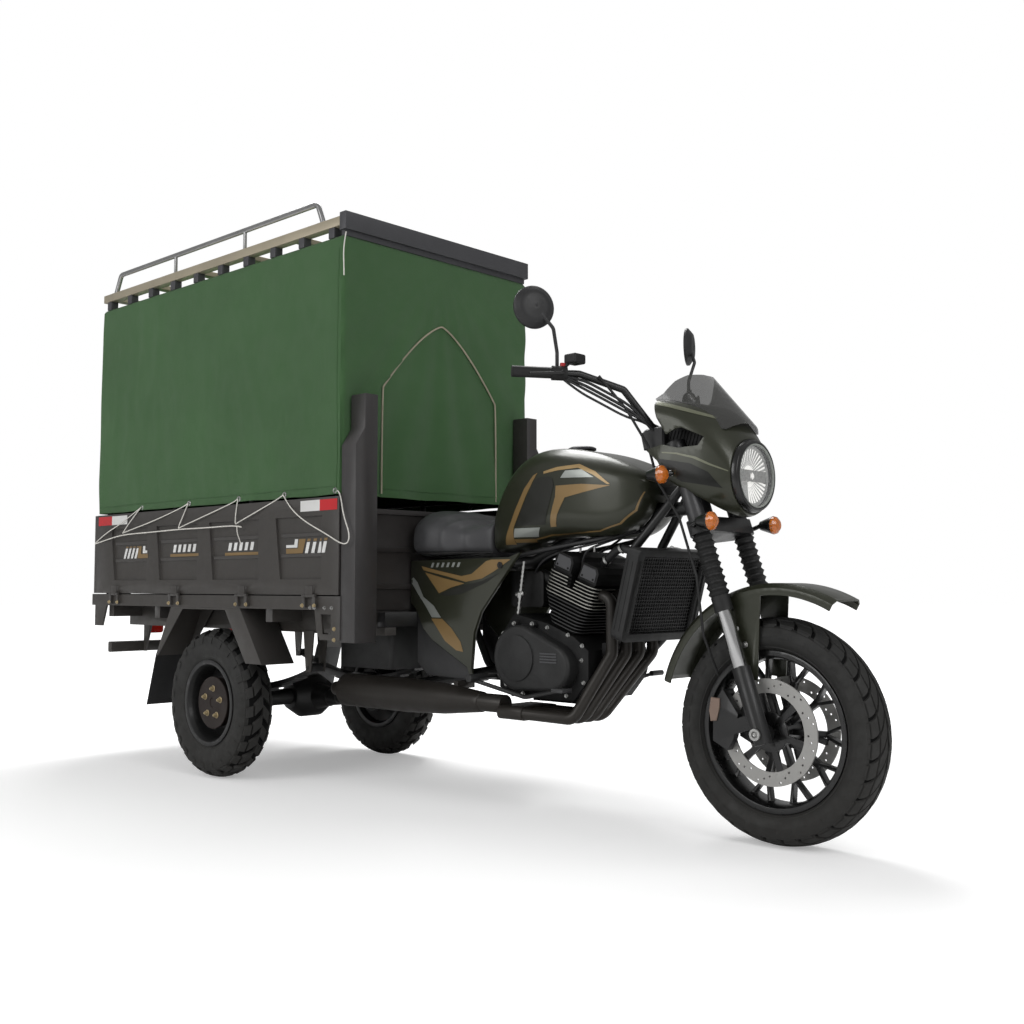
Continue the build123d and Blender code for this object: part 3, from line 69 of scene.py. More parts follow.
@dataclass(frozen=True)
class Tilt:
    """A frame turned about the Y axis, in which leaning pieces are drawn upright."""

    origin: Point = (0.0, 0.0, 0.0)
    degrees: float = 0.0

    def way(self, x: float, y: float, z: float) -> Vector:
        """A direction drawn upright, leaned over."""
        s, c = math.sin(math.radians(self.degrees)), math.cos(math.radians(self.degrees))
        return Vector((x * c + z * s, y, z * c - x * s))

    def at(self, x: float, y: float, z: float) -> Vector:
        """A point drawn upright, leaned over and put in its place."""
        return Vector(self.origin) + self.way(x, y, z)


LEVEL = Tilt()
FORK = Tilt(FRONT_AXLE, -18.5)
ENGINE = Tilt((0.710, 0.0, 0.592), 20.0)
RADIATOR = Tilt((0.998, 0.0, 0.705), 15.0)


def smooth(low: float, high: float, value: float) -> float:
    """Goes from 0 to 1 between low and high, level at both ends."""
    t = min(1.0, max(0.0, (value - low) / (high - low)))
    return t * t * (3 - 2 * t)


def linear(colour: str, alpha: float = 1.0) -> tuple[float, float, float, float]:
    """A hex colour as the linear colour that a shader takes."""
    parts = [int(colour[k:k + 2], 16) / 255 for k in (1, 3, 5)]
    bent = [c / 12.92 if c <= 0.04045 else ((c + 0.055) / 1.055) ** 2.4 for c in parts]
    return bent[0], bent[1], bent[2], alpha


class Grain(Enum):
    """The fine relief of a surface."""

    SMOOTH = "smooth"
    PEEL = "peel"
    CAST = "cast"
    BRUSHED = "brushed"
    WEAVE = "weave"
    RUBBER = "rubber"


@dataclass(frozen=True)
class Finish:
    """One surface finish: its colour, gloss, fine relief, wear and any painted glow."""

    name: str
    colour: str
    roughness: float = 0.5
    metallic: float = 0.0
    coat: float = 0.0
    mottle: float = 0.10
    mottle_scale: float = 7.0
    grain: Grain = Grain.PEEL
    grain_scale: float = 420.0
    grain_depth: float = 0.0003
    wear: float = 0.0
    wear_colour: str = "#77777a"
    sheen: float = 0.0
    dust: float = 0.0
    transmission: float = 0.0
    alpha: float = 1.0
    specular: float = 0.5
    # glow: painted glow, the surface's own colour given off as light on parts that are not lit lamps
    glow: float = 0.0

    def material(self) -> bpy.types.Material:
        """Makes the material the first time, and gives the same one after that.

        Returns:
            The material.
        """
        found = bpy.data.materials.get("finish_" + self.name)
        if found:
            return found
        made = bpy.data.materials.new("finish_" + self.name)
        made.use_nodes = True
        tree = made.node_tree
        shader = tree.nodes["Principled BSDF"]
        shader.inputs["Metallic"].default_value = self.metallic
        shader.inputs["Coat Weight"].default_value = self.coat
        shader.inputs["Coat Roughness"].default_value = 0.12
        shader.inputs["Sheen Weight"].default_value = self.sheen
        shader.inputs["Transmission Weight"].default_value = self.transmission
        shader.inputs["Alpha"].default_value = self.alpha
        shader.inputs["Specular IOR Level"].default_value = self.specular
        # Painted glow: with glow set, the surface gives off its own colour as light, though it is not a lit
        # lamp.
        shader.inputs["Emission Color"].default_value = linear(self.colour)
        shader.inputs["Emission Strength"].default_value = self.glow
        places = tree.nodes.new("ShaderNodeTexCoord").outputs["Object"]
        self._colour(tree, shader, places)
        self._gloss(tree, shader, places)
        if self.grain is not Grain.SMOOTH:
            self._relief(tree, shader, places)
        return made

    def _noise(self, tree: bpy.types.NodeTree, places: bpy.types.NodeSocket, scale: float,
               detail: float = 4.0) -> bpy.types.NodeSocket:
        """A noise pattern over the surface.

        Args:
            tree: the material's nodes.
            places: the socket with the place on the object.
            scale: bumps in each metre.
            detail: how many finer layers it has.

        Returns:
            The socket with the pattern, from 0 to 1.
        """
        node = tree.nodes.new("ShaderNodeTexNoise")
        node.inputs["Scale"].default_value = scale
        node.inputs["Detail"].default_value = detail
        tree.links.new(places, node.inputs["Vector"])
        return node.outputs["Fac"]

    def _mix(self, tree: bpy.types.NodeTree, share: bpy.types.NodeSocket, low: object,
             high: object) -> bpy.types.NodeSocket:
        """Blends two colours, each a socket or a fixed colour.

        Args:
            tree: the material's nodes.
            share: the socket with the second colour's share.
            low: the first colour.
            high: the second colour.

        Returns:
            The socket with the blended colour.
        """
        node = tree.nodes.new("ShaderNodeMix")
        node.data_type = "RGBA"
        tree.links.new(share, node.inputs["Factor"])
        for socket, value in (("A", low), ("B", high)):
            target = [s for s in node.inputs if s.name == socket and s.type == "RGBA"][0]
            if isinstance(value, bpy.types.NodeSocket):
                tree.links.new(value, target)
            else:
                target.default_value = value
        return [s for s in node.outputs if s.type == "RGBA"][0]

    def _range(self, tree: bpy.types.NodeTree, value: bpy.types.NodeSocket, low: float, high: float,
               to_low: float = 0.0, to_high: float = 1.0) -> bpy.types.NodeSocket:
        """Stretches a value's range and holds it inside the new one.

        Args:
            tree: the material's nodes.
            value: the socket with the value.
            low: the old range's start.
            high: its end.
            to_low: the new range's start.
            to_high: its end.

        Returns:
            The socket with the stretched value.
        """
        node = tree.nodes.new("ShaderNodeMapRange")
        for name, number in (("From Min", low), ("From Max", high), ("To Min", to_low), ("To Max", to_high)):
            node.inputs[name].default_value = number
        tree.links.new(value, node.inputs["Value"])
        return node.outputs["Result"]

    def _colour(self, tree: bpy.types.NodeTree, shader: bpy.types.Node, places: bpy.types.NodeSocket) -> None:
        """Base colour that wanders a little, with pale edges where it wears.

        Args:
            tree: the material's nodes.
            shader: its main shader.
            places: the socket with the place on the object.
        """
        base = linear(self.colour)
        dark = tuple(c * (1 - self.mottle) for c in base[:3]) + (1.0,)
        light = tuple(min(1.0, c * (1 + self.mottle)) for c in base[:3]) + (1.0,)
        wander = self._range(tree, self._noise(tree, places, self.mottle_scale), 0.3, 0.7)
        colour = self._mix(tree, wander, dark, light)
        if self.dust:
            high = tree.nodes.new("ShaderNodeSeparateXYZ")
            tree.links.new(places, high.inputs["Vector"])
            low_down = self._range(tree, high.outputs["Z"], 0.0, 0.7, self.dust, 0.0)
            colour = self._mix(tree, low_down, colour, linear("#6e675c"))
        if self.wear:
            edges = tree.nodes.new("ShaderNodeNewGeometry").outputs["Pointiness"]
            rubbed = self._range(tree, edges, 0.53, 0.60, 0.0, self.wear)
            colour = self._mix(tree, rubbed, colour, linear(self.wear_colour))
        tree.links.new(colour, shader.inputs["Base Color"])

    def _gloss(self, tree: bpy.types.NodeTree, shader: bpy.types.Node, places: bpy.types.NodeSocket) -> None:
        """Roughness that varies a little with handling and dust.

        Args:
            tree: the material's nodes.
            shader: its main shader.
            places: the socket with the place on the object.
        """
        spread = 0.18 * self.roughness
        patches = self._noise(tree, places, 3.1 * self.mottle_scale, 6.0)
        value = self._range(tree, patches, 0.25, 0.75, self.roughness - spread, self.roughness + spread)
        tree.links.new(value, shader.inputs["Roughness"])

    def _relief(self, tree: bpy.types.NodeTree, shader: bpy.types.Node, places: bpy.types.NodeSocket) -> None:
        """Fine relief: cast grain, weave or brushed lines.

        Args:
            tree: the material's nodes.
            shader: its main shader.
            places: the socket with the place on the object.
        """
        bump = tree.nodes.new("ShaderNodeBump")
        bump.inputs["Distance"].default_value = self.grain_depth
        if self.grain is Grain.WEAVE:
            height = self._weave(tree, places)
        elif self.grain is Grain.BRUSHED:
            stretch = tree.nodes.new("ShaderNodeMapping")
            stretch.inputs["Scale"].default_value = (0.05, 1.0, 1.0)
            tree.links.new(places, stretch.inputs["Vector"])
            height = self._noise(tree, stretch.outputs["Vector"], self.grain_scale)
        else:
            height = self._noise(tree, places, self.grain_scale, 3.0)
        tree.links.new(height, bump.inputs["Height"])
        tree.links.new(bump.outputs["Normal"], shader.inputs["Normal"])

    def _weave(self, tree: bpy.types.NodeTree, places: bpy.types.NodeSocket) -> bpy.types.NodeSocket:
        """Two crossed sets of threads.

        Args:
            tree: the material's nodes.
            places: the socket with the place on the object.

        Returns:
            The socket with their height.
        """
        threads = []
        for direction in ("X", "Y", "Z"):
            wave = tree.nodes.new("ShaderNodeTexWave")
            wave.bands_direction = direction
            wave.inputs["Scale"].default_value = self.grain_scale
            wave.inputs["Distortion"].default_value = 0.6
            tree.links.new(places, wave.inputs["Vector"])
            threads.append(wave.outputs["Fac"])
        total = threads[0]
        for thread in threads[1:]:
            add = tree.nodes.new("ShaderNodeMath")
            add.operation = "ADD"
            tree.links.new(total, add.inputs[0])
            tree.links.new(thread, add.inputs[1])
            total = add.outputs[0]
        return total


FRAME_BLACK = Finish("frame_black", "#161616", 0.45, coat=0.1, wear=0.15)
ENGINE_DARK = Finish("engine_dark", "#0b0b0b", 0.6, specular=0.3, grain=Grain.CAST, grain_scale=650.0)
MESH_BLACK = Finish("mesh_black", "#141414", 0.4, metallic=0.3, grain=Grain.SMOOTH)
COVER_GREY = Finish("cover_grey", "#4a4a4c", 0.5, metallic=0.3, grain=Grain.CAST, grain_scale=500.0,
                    mottle=0.06)
FIN_BRIGHT = Finish("fin_bright", "#aaa9a2", 0.35, metallic=0.7, mottle=0.2, mottle_scale=30.0)
FIN_DULL = Finish("fin_dull", "#3b3b3b", 0.5, metallic=0.4)
CABLE = Finish("cable_black", "#171718", 0.45, grain=Grain.RUBBER, grain_scale=900.0)
GUARD_BLACK = Finish("guard_black", "#2c2928", 0.5, coat=0.1, wear=0.15)
# Painted highlight: a lighter copy of the olive paint for thin lines along the fairing's crease and shoulder,
# where these catch the light.
OLIVE_HIGHLIGHT = Finish("olive_crease_highlight", "#6c6e5b", 0.4, metallic=0.25, coat=0.3, mottle=0.05)
INSET_BLACK = Finish("inset_black", "#0d0e09", 0.32, coat=0.15, specular=0.3, mottle=0.03)
GLOSS_BLACK = Finish("gloss_black", "#0e0e0e", 0.3, coat=0.3, wear=0.1)
OLIVE = Finish("olive_paint", "#303226", 0.34, metallic=0.3, coat=0.25, mottle=0.05, mottle_scale=4.0,
               grain_scale=900.0, grain_depth=0.00005)
BED_GREY = Finish("bed_grey", "#3a3734", 0.5, coat=0.08, wear=0.15, dust=0.06, mottle=0.07)
PIPE_BLACK = Finish("pipe_black", "#282522", 0.42, metallic=0.35, grain=Grain.CAST, grain_scale=500.0,
                    grain_depth=0.0001, dust=0.08)
STEEL = Finish("bright_steel", "#b4b4b2", 0.28, metallic=1.0, grain=Grain.BRUSHED, grain_scale=700.0,
               grain_depth=0.00005)
CHROME = Finish("chrome", "#c4c4c4", 0.16, metallic=1.0, mottle=0.03, grain=Grain.SMOOTH)
BRASS = Finish("brass_plated", "#b3a27f", 0.4, metallic=0.6, mottle=0.2, grain=Grain.CAST)
DISC_STEEL = Finish("disc_steel", "#a9a8a5", 0.5, metallic=0.5, mottle=0.04, grain=Grain.SMOOTH)
BEIGE = Finish("beige_metal", "#a39983", 0.45, metallic=0.35, wear=0.2, wear_colour="#d9d2c4")
RACK = Finish("rack_metal", "#a3a3a3", 0.3, metallic=0.9, grain=Grain.BRUSHED, grain_depth=0.00004)
STRIP_GREY = Finish("strip_grey", "#3f3f42", 0.5, metallic=0.3, wear=0.3)
PLASTIC = Finish("black_plastic", "#1a1a1a", 0.58, grain=Grain.CAST, grain_scale=900.0, grain_depth=0.00015)
DARK_PLASTIC = Finish("dark_panel", "#242425", 0.5, grain=Grain.CAST, grain_scale=900.0, grain_depth=0.00012)
RUBBER = Finish("soft_rubber", "#131313", 0.6, grain=Grain.RUBBER, grain_scale=700.0, grain_depth=0.0002)
# Painted shade: a darker copy of the tyre rubber for the floor between the tread blocks, where shade falls deep
# down.
GROOVE_SHADE = Finish("tread_groove_shade", "#070707", 0.85, specular=0.2, grain=Grain.SMOOTH)
TYRE = Finish("tyre_rubber", "#1e1e1d", 0.7, mottle=0.10, mottle_scale=11.0, grain=Grain.RUBBER,
              grain_scale=520.0, grain_depth=0.0003, wear=0.10, wear_colour="#3a3937", dust=0.05)
CANVAS = Finish("canvas_green", "#44693f", 0.8, mottle=0.07, mottle_scale=3.2, grain=Grain.WEAVE,
                grain_scale=260.0, grain_depth=0.0004, sheen=0.12, specular=0.3)
VINYL = Finish("seat_vinyl", "#434345", 0.55, mottle=0.04, grain=Grain.CAST, grain_scale=900.0,
               grain_depth=0.00012)
PIPING = Finish("piping_beige", "#b9b09a", 0.6, grain=Grain.WEAVE, grain_scale=900.0, grain_depth=0.0003)
ROPE_WHITE = Finish("rope_white", "#dcd9d2", 0.75, mottle=0.12, mottle_scale=90.0, grain=Grain.RUBBER,
                    grain_scale=900.0, grain_depth=0.0006)
TAN = Finish("tan_stripe", "#8a7047", 0.36, metallic=0.3, coat=0.35, mottle=0.06, grain_depth=0.00004)
TAN_LIGHT = Finish("tan_edge", "#a68a5c", 0.36, metallic=0.3, coat=0.35, mottle=0.05, grain_depth=0.00004)
SILVER = Finish("silver_stripe", "#a3a7a2", 0.34, metallic=0.5, coat=0.3, mottle=0.05, grain_depth=0.00004)
KNEE_DARK = Finish("knee_patch", "#171811", 0.48, coat=0.1, mottle=0.06, grain_depth=0.00008)
WHITE_TAPE = Finish("white_tape", "#dfdfdd", 0.4, coat=0.3, grain=Grain.CAST, grain_scale=300.0)
RED_TAPE = Finish("red_tape", "#c2121c", 0.36, coat=0.4, grain=Grain.CAST, grain_scale=300.0)
AMBER = Finish("amber_lens", "#e8862e", 0.16, coat=0.6, transmission=0.45, grain=Grain.SMOOTH, mottle=0.12,
               mottle_scale=60.0)
RED_LENS = Finish("red_lens", "#c8281c", 0.18, coat=0.6, transmission=0.3, grain=Grain.SMOOTH)
CLEAR = Finish("clear_lens", "#f4f6f6", 0.05, grain=Grain.SMOOTH, alpha=0.10, mottle=0.01)
SMOKE = Finish("smoke_screen", "#474745", 0.12, alpha=0.66, grain=Grain.SMOOTH, coat=0.3)
MIRROR = Finish("mirror_glass", "#c9ced2", 0.03, metallic=1.0, grain=Grain.SMOOTH, mottle=0.02)
# Painted light in the unlit headlamp: the reflector, bulb shield and band glow of their own as painted glow,
# and REFLECTOR_SHADE is a darker, shaded copy of the reflector for painted shade.
REFLECTOR = Finish("lamp_reflector", "#deddda", 0.34, metallic=0.2, grain=Grain.SMOOTH, mottle=0.03, glow=0.75)
REFLECTOR_SHADE = Finish("reflector_shade", "#a8a8a6", 0.34, metallic=0.3, grain=Grain.SMOOTH, glow=0.12)
LAMP_BAND = Finish("lamp_band", "#8b8b89", 0.35, metallic=0.3, grain=Grain.SMOOTH, mottle=0.3,
                   mottle_scale=160.0, glow=0.10)
RED_BUTTON = Finish("red_button", "#b01f22", 0.4, grain=Grain.SMOOTH)
BRONZE = Finish("caliper_bronze", "#8a776c", 0.36, metallic=0.7, grain=Grain.CAST, wear=0.3)
HUB_BROWN = Finish("hub_brown", "#2f2724", 0.55, metallic=0.4, grain=Grain.CAST, grain_scale=300.0, mottle=0.2)


def build(name: str, points: Sequence[Sequence[float]], faces: Sequence[Sequence[int]], finish: Finish,
          body: str, rounded: bool = True) -> bpy.types.Object:
    """Makes one mesh piece that rides on a body.

    Args:
        name: the piece's name.
        points: its corners.
        faces: the corners of each face.
        finish: its surface.
        body: the moving body that carries it.
        rounded: whether shading runs smoothly over shallow corners.

    Returns:
        The new object.
    """
    mesh = bpy.data.meshes.new(name)
    mesh.from_pydata([tuple(p) for p in points], [], [tuple(f) for f in faces])
    mesh.validate()
    piece = bpy.data.objects.new(name, mesh)
    bpy.context.scene.collection.objects.link(piece)
    mesh.materials.append(finish.material())
    if rounded:
        mesh.shade_smooth()
        mesh.set_sharp_from_angle(angle=math.radians(38))
    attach(piece, body)
    return piece


def lathe(profile: Sequence[Flat], steps: int, centre: Sequence[float], axis: Sequence[float],
          closed: bool = False) -> Shape:
    """Turns a profile of (radius, height) round an axis.

    Args:
        profile: the points from one end to the other.
        steps: how many steps round.
        centre: a point on the axis.
        axis: the axis's direction.
        closed: whether the profile's last point joins its first.

    Returns:
        The corners and the faces.
    """
    turn = Vector(axis).to_track_quat("Z", "Y")
    points, faces = [], []
    for k in range(steps):
        angle = 2 * math.pi * k / steps
        for r, h in profile:
            points.append(Vector(centre) + turn @ Vector((r * math.cos(angle), r * math.sin(angle), h)))
    n = len(profile)
    for k in range(steps):
        after = (k + 1) % steps
        for i in range(n if closed else n - 1):
            j = (i + 1) % n
            faces.append([k * n + i, after * n + i, after * n + j, k * n + j])
    return points, faces


def merge(shapes: Iterable[Shape]) -> Shape:
    """Puts several shapes' corners and faces into one list of each.

    Args:
        shapes: the shapes to join.

    Returns:
        All corners and all faces.
    """
    points: list[Vector] = []
    faces: list[list[int]] = []
    for more, sides in shapes:
        start = len(points)
        points += more
        faces += [[i + start for i in side] for side in sides]
    return points, faces


def boss(centre: Sequence[float], axis: Sequence[float], radius: float, height: float,
         sides: int = 20, edge: float = 0.15) -> Shape:
    """A short round boss or bolt head with a softened edge, with its base at the centre.

    Args:
        centre: the middle of its base.
        axis: the way it points.
        radius: its radius.
        height: how tall it is.
        sides: how many steps round.
        edge: its softened edge, as a share of the radius.

    Returns:
        The corners and faces.
    """
    soft = edge * radius
    profile = [(0.0001, 0.0), (radius, 0.0), (radius, height - soft), (radius - soft, height), (0.0001, height)]
    return lathe(profile, sides, centre, axis)


def hex_bolt(centre: Sequence[float], axis: Sequence[float], radius: float) -> Shape:
    """A flanged hexagon bolt head with a dimple.

    Args:
        centre: the middle of its base.
        axis: the way it points.
        radius: the hexagon's radius.

    Returns:
        The corners and faces.
    """
    flange = boss(centre, axis, radius * 1.35, radius * 0.28, 20)
    top = Vector(centre) + Vector(axis).normalized() * radius * 0.26
    head = lathe([(0.0001, 0), (radius, 0), (radius, radius * 0.6), (radius * 0.86, radius * 0.72),
                  (radius * 0.4, radius * 0.72), (radius * 0.3, radius * 0.6), (0.0001, radius * 0.6)],
                 6, top, axis)
    return merge([flange, head])


def bar(name: str, route: Sequence[Sequence[float]], radius: float, finish: Finish, body: str,
        order: int = 3) -> bpy.types.Object:
    """A round bar, pipe or cable along a smooth curve through its route.

    Args:
        name: the piece's name.
        route: the points that steer the curve.
        radius: the bar's radius.
        finish: its surface.
        body: the body it rides on.
        order: how far each bend reaches.

    Returns:
        The curve object.
    """
    curve = bpy.data.curves.new(name, "CURVE")
    curve.dimensions = "3D"
    curve.bevel_depth = radius
    curve.bevel_resolution = 3
    curve.use_fill_caps = True
    curve.resolution_u = 8
    line = curve.splines.new("NURBS")
    line.points.add(len(route) - 1)
    for point, place in zip(line.points, route):
        point.co = (*place, 1.0)
    line.order_u = order
    line.use_endpoint_u = True
    piece = bpy.data.objects.new(name, curve)
    bpy.context.scene.collection.objects.link(piece)
    curve.materials.append(finish.material())
    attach(piece, body)
    return piece


def prism(frame: Tilt, outline: Sequence[Flat], inner: float, outer: float, soft: float = 0.002) -> Shape:
    """A plate drawn in side view, from one place across to another, with a softened outer edge.

    Args:
        frame: the frame it is drawn in.
        outline: its (x, z) corners.
        inner: where it starts across.
        outer: where its outer face lies.
        soft: the width of that face's softened edge.

    Returns:
        The corners and faces.
    """
    n = len(outline)
    mid_x, mid_z = sum(p[0] for p in outline) / n, sum(p[1] for p in outline) / n
    step = math.copysign(soft, outer - inner)
    points = []
    for y, pull in ((inner, 0.0), (outer - step, 0.0), (outer, soft)):
        for x, z in outline:
            share = 1 - pull / math.hypot(x - mid_x, z - mid_z)
            points.append(frame.at(mid_x + (x - mid_x) * share, y, mid_z + (z - mid_z) * share))
    faces = [[j * n + i, j * n + (i + 1) % n, (j + 1) * n + (i + 1) % n, (j + 1) * n + i]
             for j in range(2) for i in range(n)]
    faces += [list(range(n))[::-1], list(range(2 * n, 3 * n))]
    return points, faces


def rounded(half_x: float, half_y: float, corner: float, steps: int = 5) -> list[Flat]:
    """The corners of a rounded rectangle round the origin.

    Args:
        half_x: half its length.
        half_y: half its width.
        corner: the radius of its corners.
        steps: how many steps each corner has.

    Returns:
        Its corners in order.
    """
    line = []
    for sx, sy, start in ((1, 1, 0.0), (-1, 1, 0.5), (-1, -1, 1.0), (1, -1, 1.5)):
        for k in range(steps + 1):
            angle = math.pi * (start + 0.5 * k / steps)
            line.append((sx * (half_x - corner) + corner * math.cos(angle),
                         sy * (half_y - corner) + corner * math.sin(angle)))
    return line


class Surface:
    """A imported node's surface, for laying thin pieces on it."""

    def __init__(self, node: str) -> None:
        """Reads the node's mesh."""
        mesh = bpy.data.objects[node].data
        self.tree = BVHTree.FromPolygons([v.co.copy() for v in mesh.vertices],
                                         [tuple(p.vertices) for p in mesh.polygons])

    def along_y(self, x: float, z: float, side: int) -> tuple[Vector, Vector] | None:
        """The outermost point at (x, z) on one side, and the outward normal there.

        Args:
            x: the place along.
            z: the height.
            side: 1 for the rider's left, -1 for the right.

        Returns:
            The point and the normal, or None where it misses.
        """
        hit = self.tree.ray_cast(Vector((x, side * 2.0, z)), Vector((0, -side, 0)))
        if hit[0] is None:
            return None
        normal = hit[1] if hit[1].y * side > 0 else -hit[1]
        return hit[0], normal


def sticker(name: str, outline: Sequence[Flat], finish: Finish, surface: Surface, side: int, body: str,
            step: float = 0.012, proud: float = 0.0006) -> bpy.types.Object | None:
    """A thin painted shape, drawn in side view and laid on a surface.

    Args:
        name: the piece's name.
        outline: its (x, z) corners.
        finish: its surface.
        surface: what it lies on.
        side: 1 for the rider's left, -1 for the right.
        body: the body it rides on.
        step: the size of its fine grid.
        proud: how far it stands off the surface.

    Returns:
        The object, or None where it misses the surface.
    """
    shape = bmesh.new()
    corners = [shape.verts.new((x, 0.0, z)) for x, z in outline]
    shape.faces.new(corners)
    bmesh.ops.triangulate(shape, faces=shape.faces[:])
    for axis in (0, 2):
        low = min(p[0 if axis == 0 else 1] for p in outline)
        high = max(p[0 if axis == 0 else 1] for p in outline)
        direction = Vector((1, 0, 0)) if axis == 0 else Vector((0, 0, 1))
        for k in range(1, int((high - low) / step) + 1):
            bmesh.ops.bisect_plane(shape, geom=shape.verts[:] + shape.edges[:] + shape.faces[:],
                                   plane_co=direction * (low + k * step), plane_no=direction, dist=1e-5)
    lost = []
    for v in shape.verts:
        found = surface.along_y(v.co.x, v.co.z, side)
        if found is None:
            lost.append(v)
        else:
            v.co = found[0] + (found[1] + Vector((0.0, side * OUTWARD_PUSH, 0.0))) * proud
    bmesh.ops.delete(shape, geom=lost, context="VERTS")
    if not shape.faces:
        shape.free()
        return None
    bmesh.ops.recalc_face_normals(shape, faces=shape.faces[:])
    shape.normal_update()
    if side * sum(face.normal.y for face in shape.faces) < 0:
        bmesh.ops.reverse_faces(shape, faces=shape.faces[:])
    mesh = bpy.data.meshes.new(name)
    shape.to_mesh(mesh)
    shape.free()
    mesh.shade_smooth()
    mesh.materials.append(finish.material())
    piece = bpy.data.objects.new(name, mesh)
    bpy.context.scene.collection.objects.link(piece)
    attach(piece, body)
    return piece


def dress(node: str, finish: Finish, bevel: float = 0.0012, angle: float = 35.0) -> None:
    """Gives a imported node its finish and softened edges.

    Args:
        node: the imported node's name.
        finish: its surface.
        bevel: the width of its softened edges, or 0 for none.
        angle: corners sharper than this many degrees are softened.
    """
    piece = bpy.data.objects[node]
    for place in piece.material_slots:
        place.material = finish.material()
    if not piece.material_slots:
        piece.data.materials.append(finish.material())
    if bevel:
        weld = piece.modifiers.new("weld", "WELD")
        weld.merge_threshold = 0.00002
        soft = piece.modifiers.new("soft_edges", "BEVEL")
        soft.width = bevel
        soft.segments = 2
        soft.limit_method = "ANGLE"
        soft.angle_limit = math.radians(angle)
        soft.use_clamp_overlap = True
        soft.harden_normals = True
    piece.data.shade_smooth()
    LOG.info("dressed %s in %s", node, finish.name)


@dataclass
class Studio:
    """Camera, floor, sky and soft lights."""

    eye: Point = (3.1517, -2.9763, 0.7329)
    azimuth: float = 43.17
    pitch: float = 3.59
    lens: float = 41.17
    floor_reach: float = 40.0
    floor_shade: float = 0.88
    floor_glow: float = 0.31
    fade_start: float = 2.0
    fade_end: float = 4.5
    sky_light: float = 0.36

    def camera(self) -> None:
        """Places the camera as the photograph's."""
        data = bpy.data.cameras.new("camera")
        data.lens = self.lens
        data.sensor_width = 36.0
        camera = bpy.data.objects.new("camera", data)
        bpy.context.scene.collection.objects.link(camera)
        turn, tip = math.radians(self.azimuth), math.radians(self.pitch)
        ahead = Vector((-math.sin(turn) * math.cos(tip), math.cos(turn) * math.cos(tip), math.sin(tip)))
        camera.location = self.eye
        camera.rotation_mode = "QUATERNION"
        camera.rotation_quaternion = ahead.to_track_quat("-Z", "Y")
        data.clip_end = 200.0
        bpy.context.scene.camera = camera

    def lamp(self, name: str, place: Point, aim: Point, size: float, power: float) -> None:
        """One square soft light aimed at a point.

        Args:
            name: its name.
            place: where it hangs.
            aim: what it points at.
            size: its side.
            power: its strength in watts.
        """
        data = bpy.data.lights.new(name, "AREA")
        data.shape = "SQUARE"
        data.size = size
        data.energy = power
        lamp = bpy.data.objects.new(name, data)
        lamp.location = place
        lamp.rotation_mode = "QUATERNION"
        lamp.rotation_quaternion = (Vector(aim) - Vector(place)).to_track_quat("-Z", "Y")
        bpy.context.scene.collection.objects.link(lamp)

    def seen_white(self, tree: bpy.types.NodeTree, strength: bpy.types.NodeSocket) -> bpy.types.NodeSocket:
        """White light of its own that only the camera sees, also through glass.

        Args:
            tree: the material's nodes.
            strength: the socket with its strength.

        Returns:
            The socket with that shader.
        """
        path = tree.nodes.new("ShaderNodeLightPath")
        glow = tree.nodes.new("ShaderNodeEmission")
        join = tree.nodes.new("ShaderNodeMath")
        join.operation = "MAXIMUM"
        tree.links.new(path.outputs["Is Camera Ray"], join.inputs[0])
        tree.links.new(path.outputs["Is Transmission Ray"], join.inputs[1])
        scale = tree.nodes.new("ShaderNodeMath")
        scale.operation = "MULTIPLY"
        tree.links.new(strength, scale.inputs[1])
        tree.links.new(join.outputs[0], scale.inputs[0])
        tree.links.new(scale.outputs[0], glow.inputs["Strength"])
        return glow.outputs[0]

    def floor(self) -> None:
        """A pale floor that keeps the shadow."""
        reach = self.floor_reach
        mesh = bpy.data.meshes.new("floor")
        mesh.from_pydata([(-reach, -reach, 0), (reach, -reach, 0), (reach, reach, 0), (-reach, reach, 0)],
                         [], [(0, 1, 2, 3)])
        floor = bpy.data.objects.new("floor", mesh)
        bpy.context.scene.collection.objects.link(floor)
        made = bpy.data.materials.new("floor_paper")
        made.use_nodes = True
        tree = made.node_tree
        tree.nodes.remove(tree.nodes["Principled BSDF"])
        paper = tree.nodes.new("ShaderNodeBsdfDiffuse")
        paper.inputs["Color"].default_value = (self.floor_shade,) * 3 + (1.0,)
        both = tree.nodes.new("ShaderNodeAddShader")
        tree.links.new(paper.outputs[0], both.inputs[0])
        place = tree.nodes.new("ShaderNodeNewGeometry")
        away = tree.nodes.new("ShaderNodeVectorMath")
        away.operation = "LENGTH"
        tree.links.new(place.outputs["Position"], away.inputs[0])
        fade = tree.nodes.new("ShaderNodeMapRange")
        for name, number in (("From Min", self.fade_start), ("From Max", self.fade_end),
                             ("To Min", self.floor_glow), ("To Max", 1.0)):
            fade.inputs[name].default_value = number
        tree.links.new(away.outputs["Value"], fade.inputs["Value"])
        tree.links.new(self.seen_white(tree, fade.outputs["Result"]), both.inputs[1])
        tree.links.new(both.outputs[0], tree.nodes["Material Output"].inputs["Surface"])
        mesh.materials.append(made)

    def sky(self) -> None:
        """A soft even sky, white where it is seen."""
        world = bpy.data.worlds.new("studio")
        bpy.context.scene.world = world
        world.use_nodes = True
        tree = world.node_tree
        background = tree.nodes["Background"]
        background.inputs["Color"].default_value = (1, 1, 1, 1)
        path = tree.nodes.new("ShaderNodeLightPath")
        pick = tree.nodes.new("ShaderNodeMapRange")
        pick.inputs["To Min"].default_value = self.sky_light
        pick.inputs["To Max"].default_value = 1.0
        tree.links.new(path.outputs["Is Camera Ray"], pick.inputs["Value"])
        tree.links.new(pick.outputs["Result"], background.inputs["Strength"])

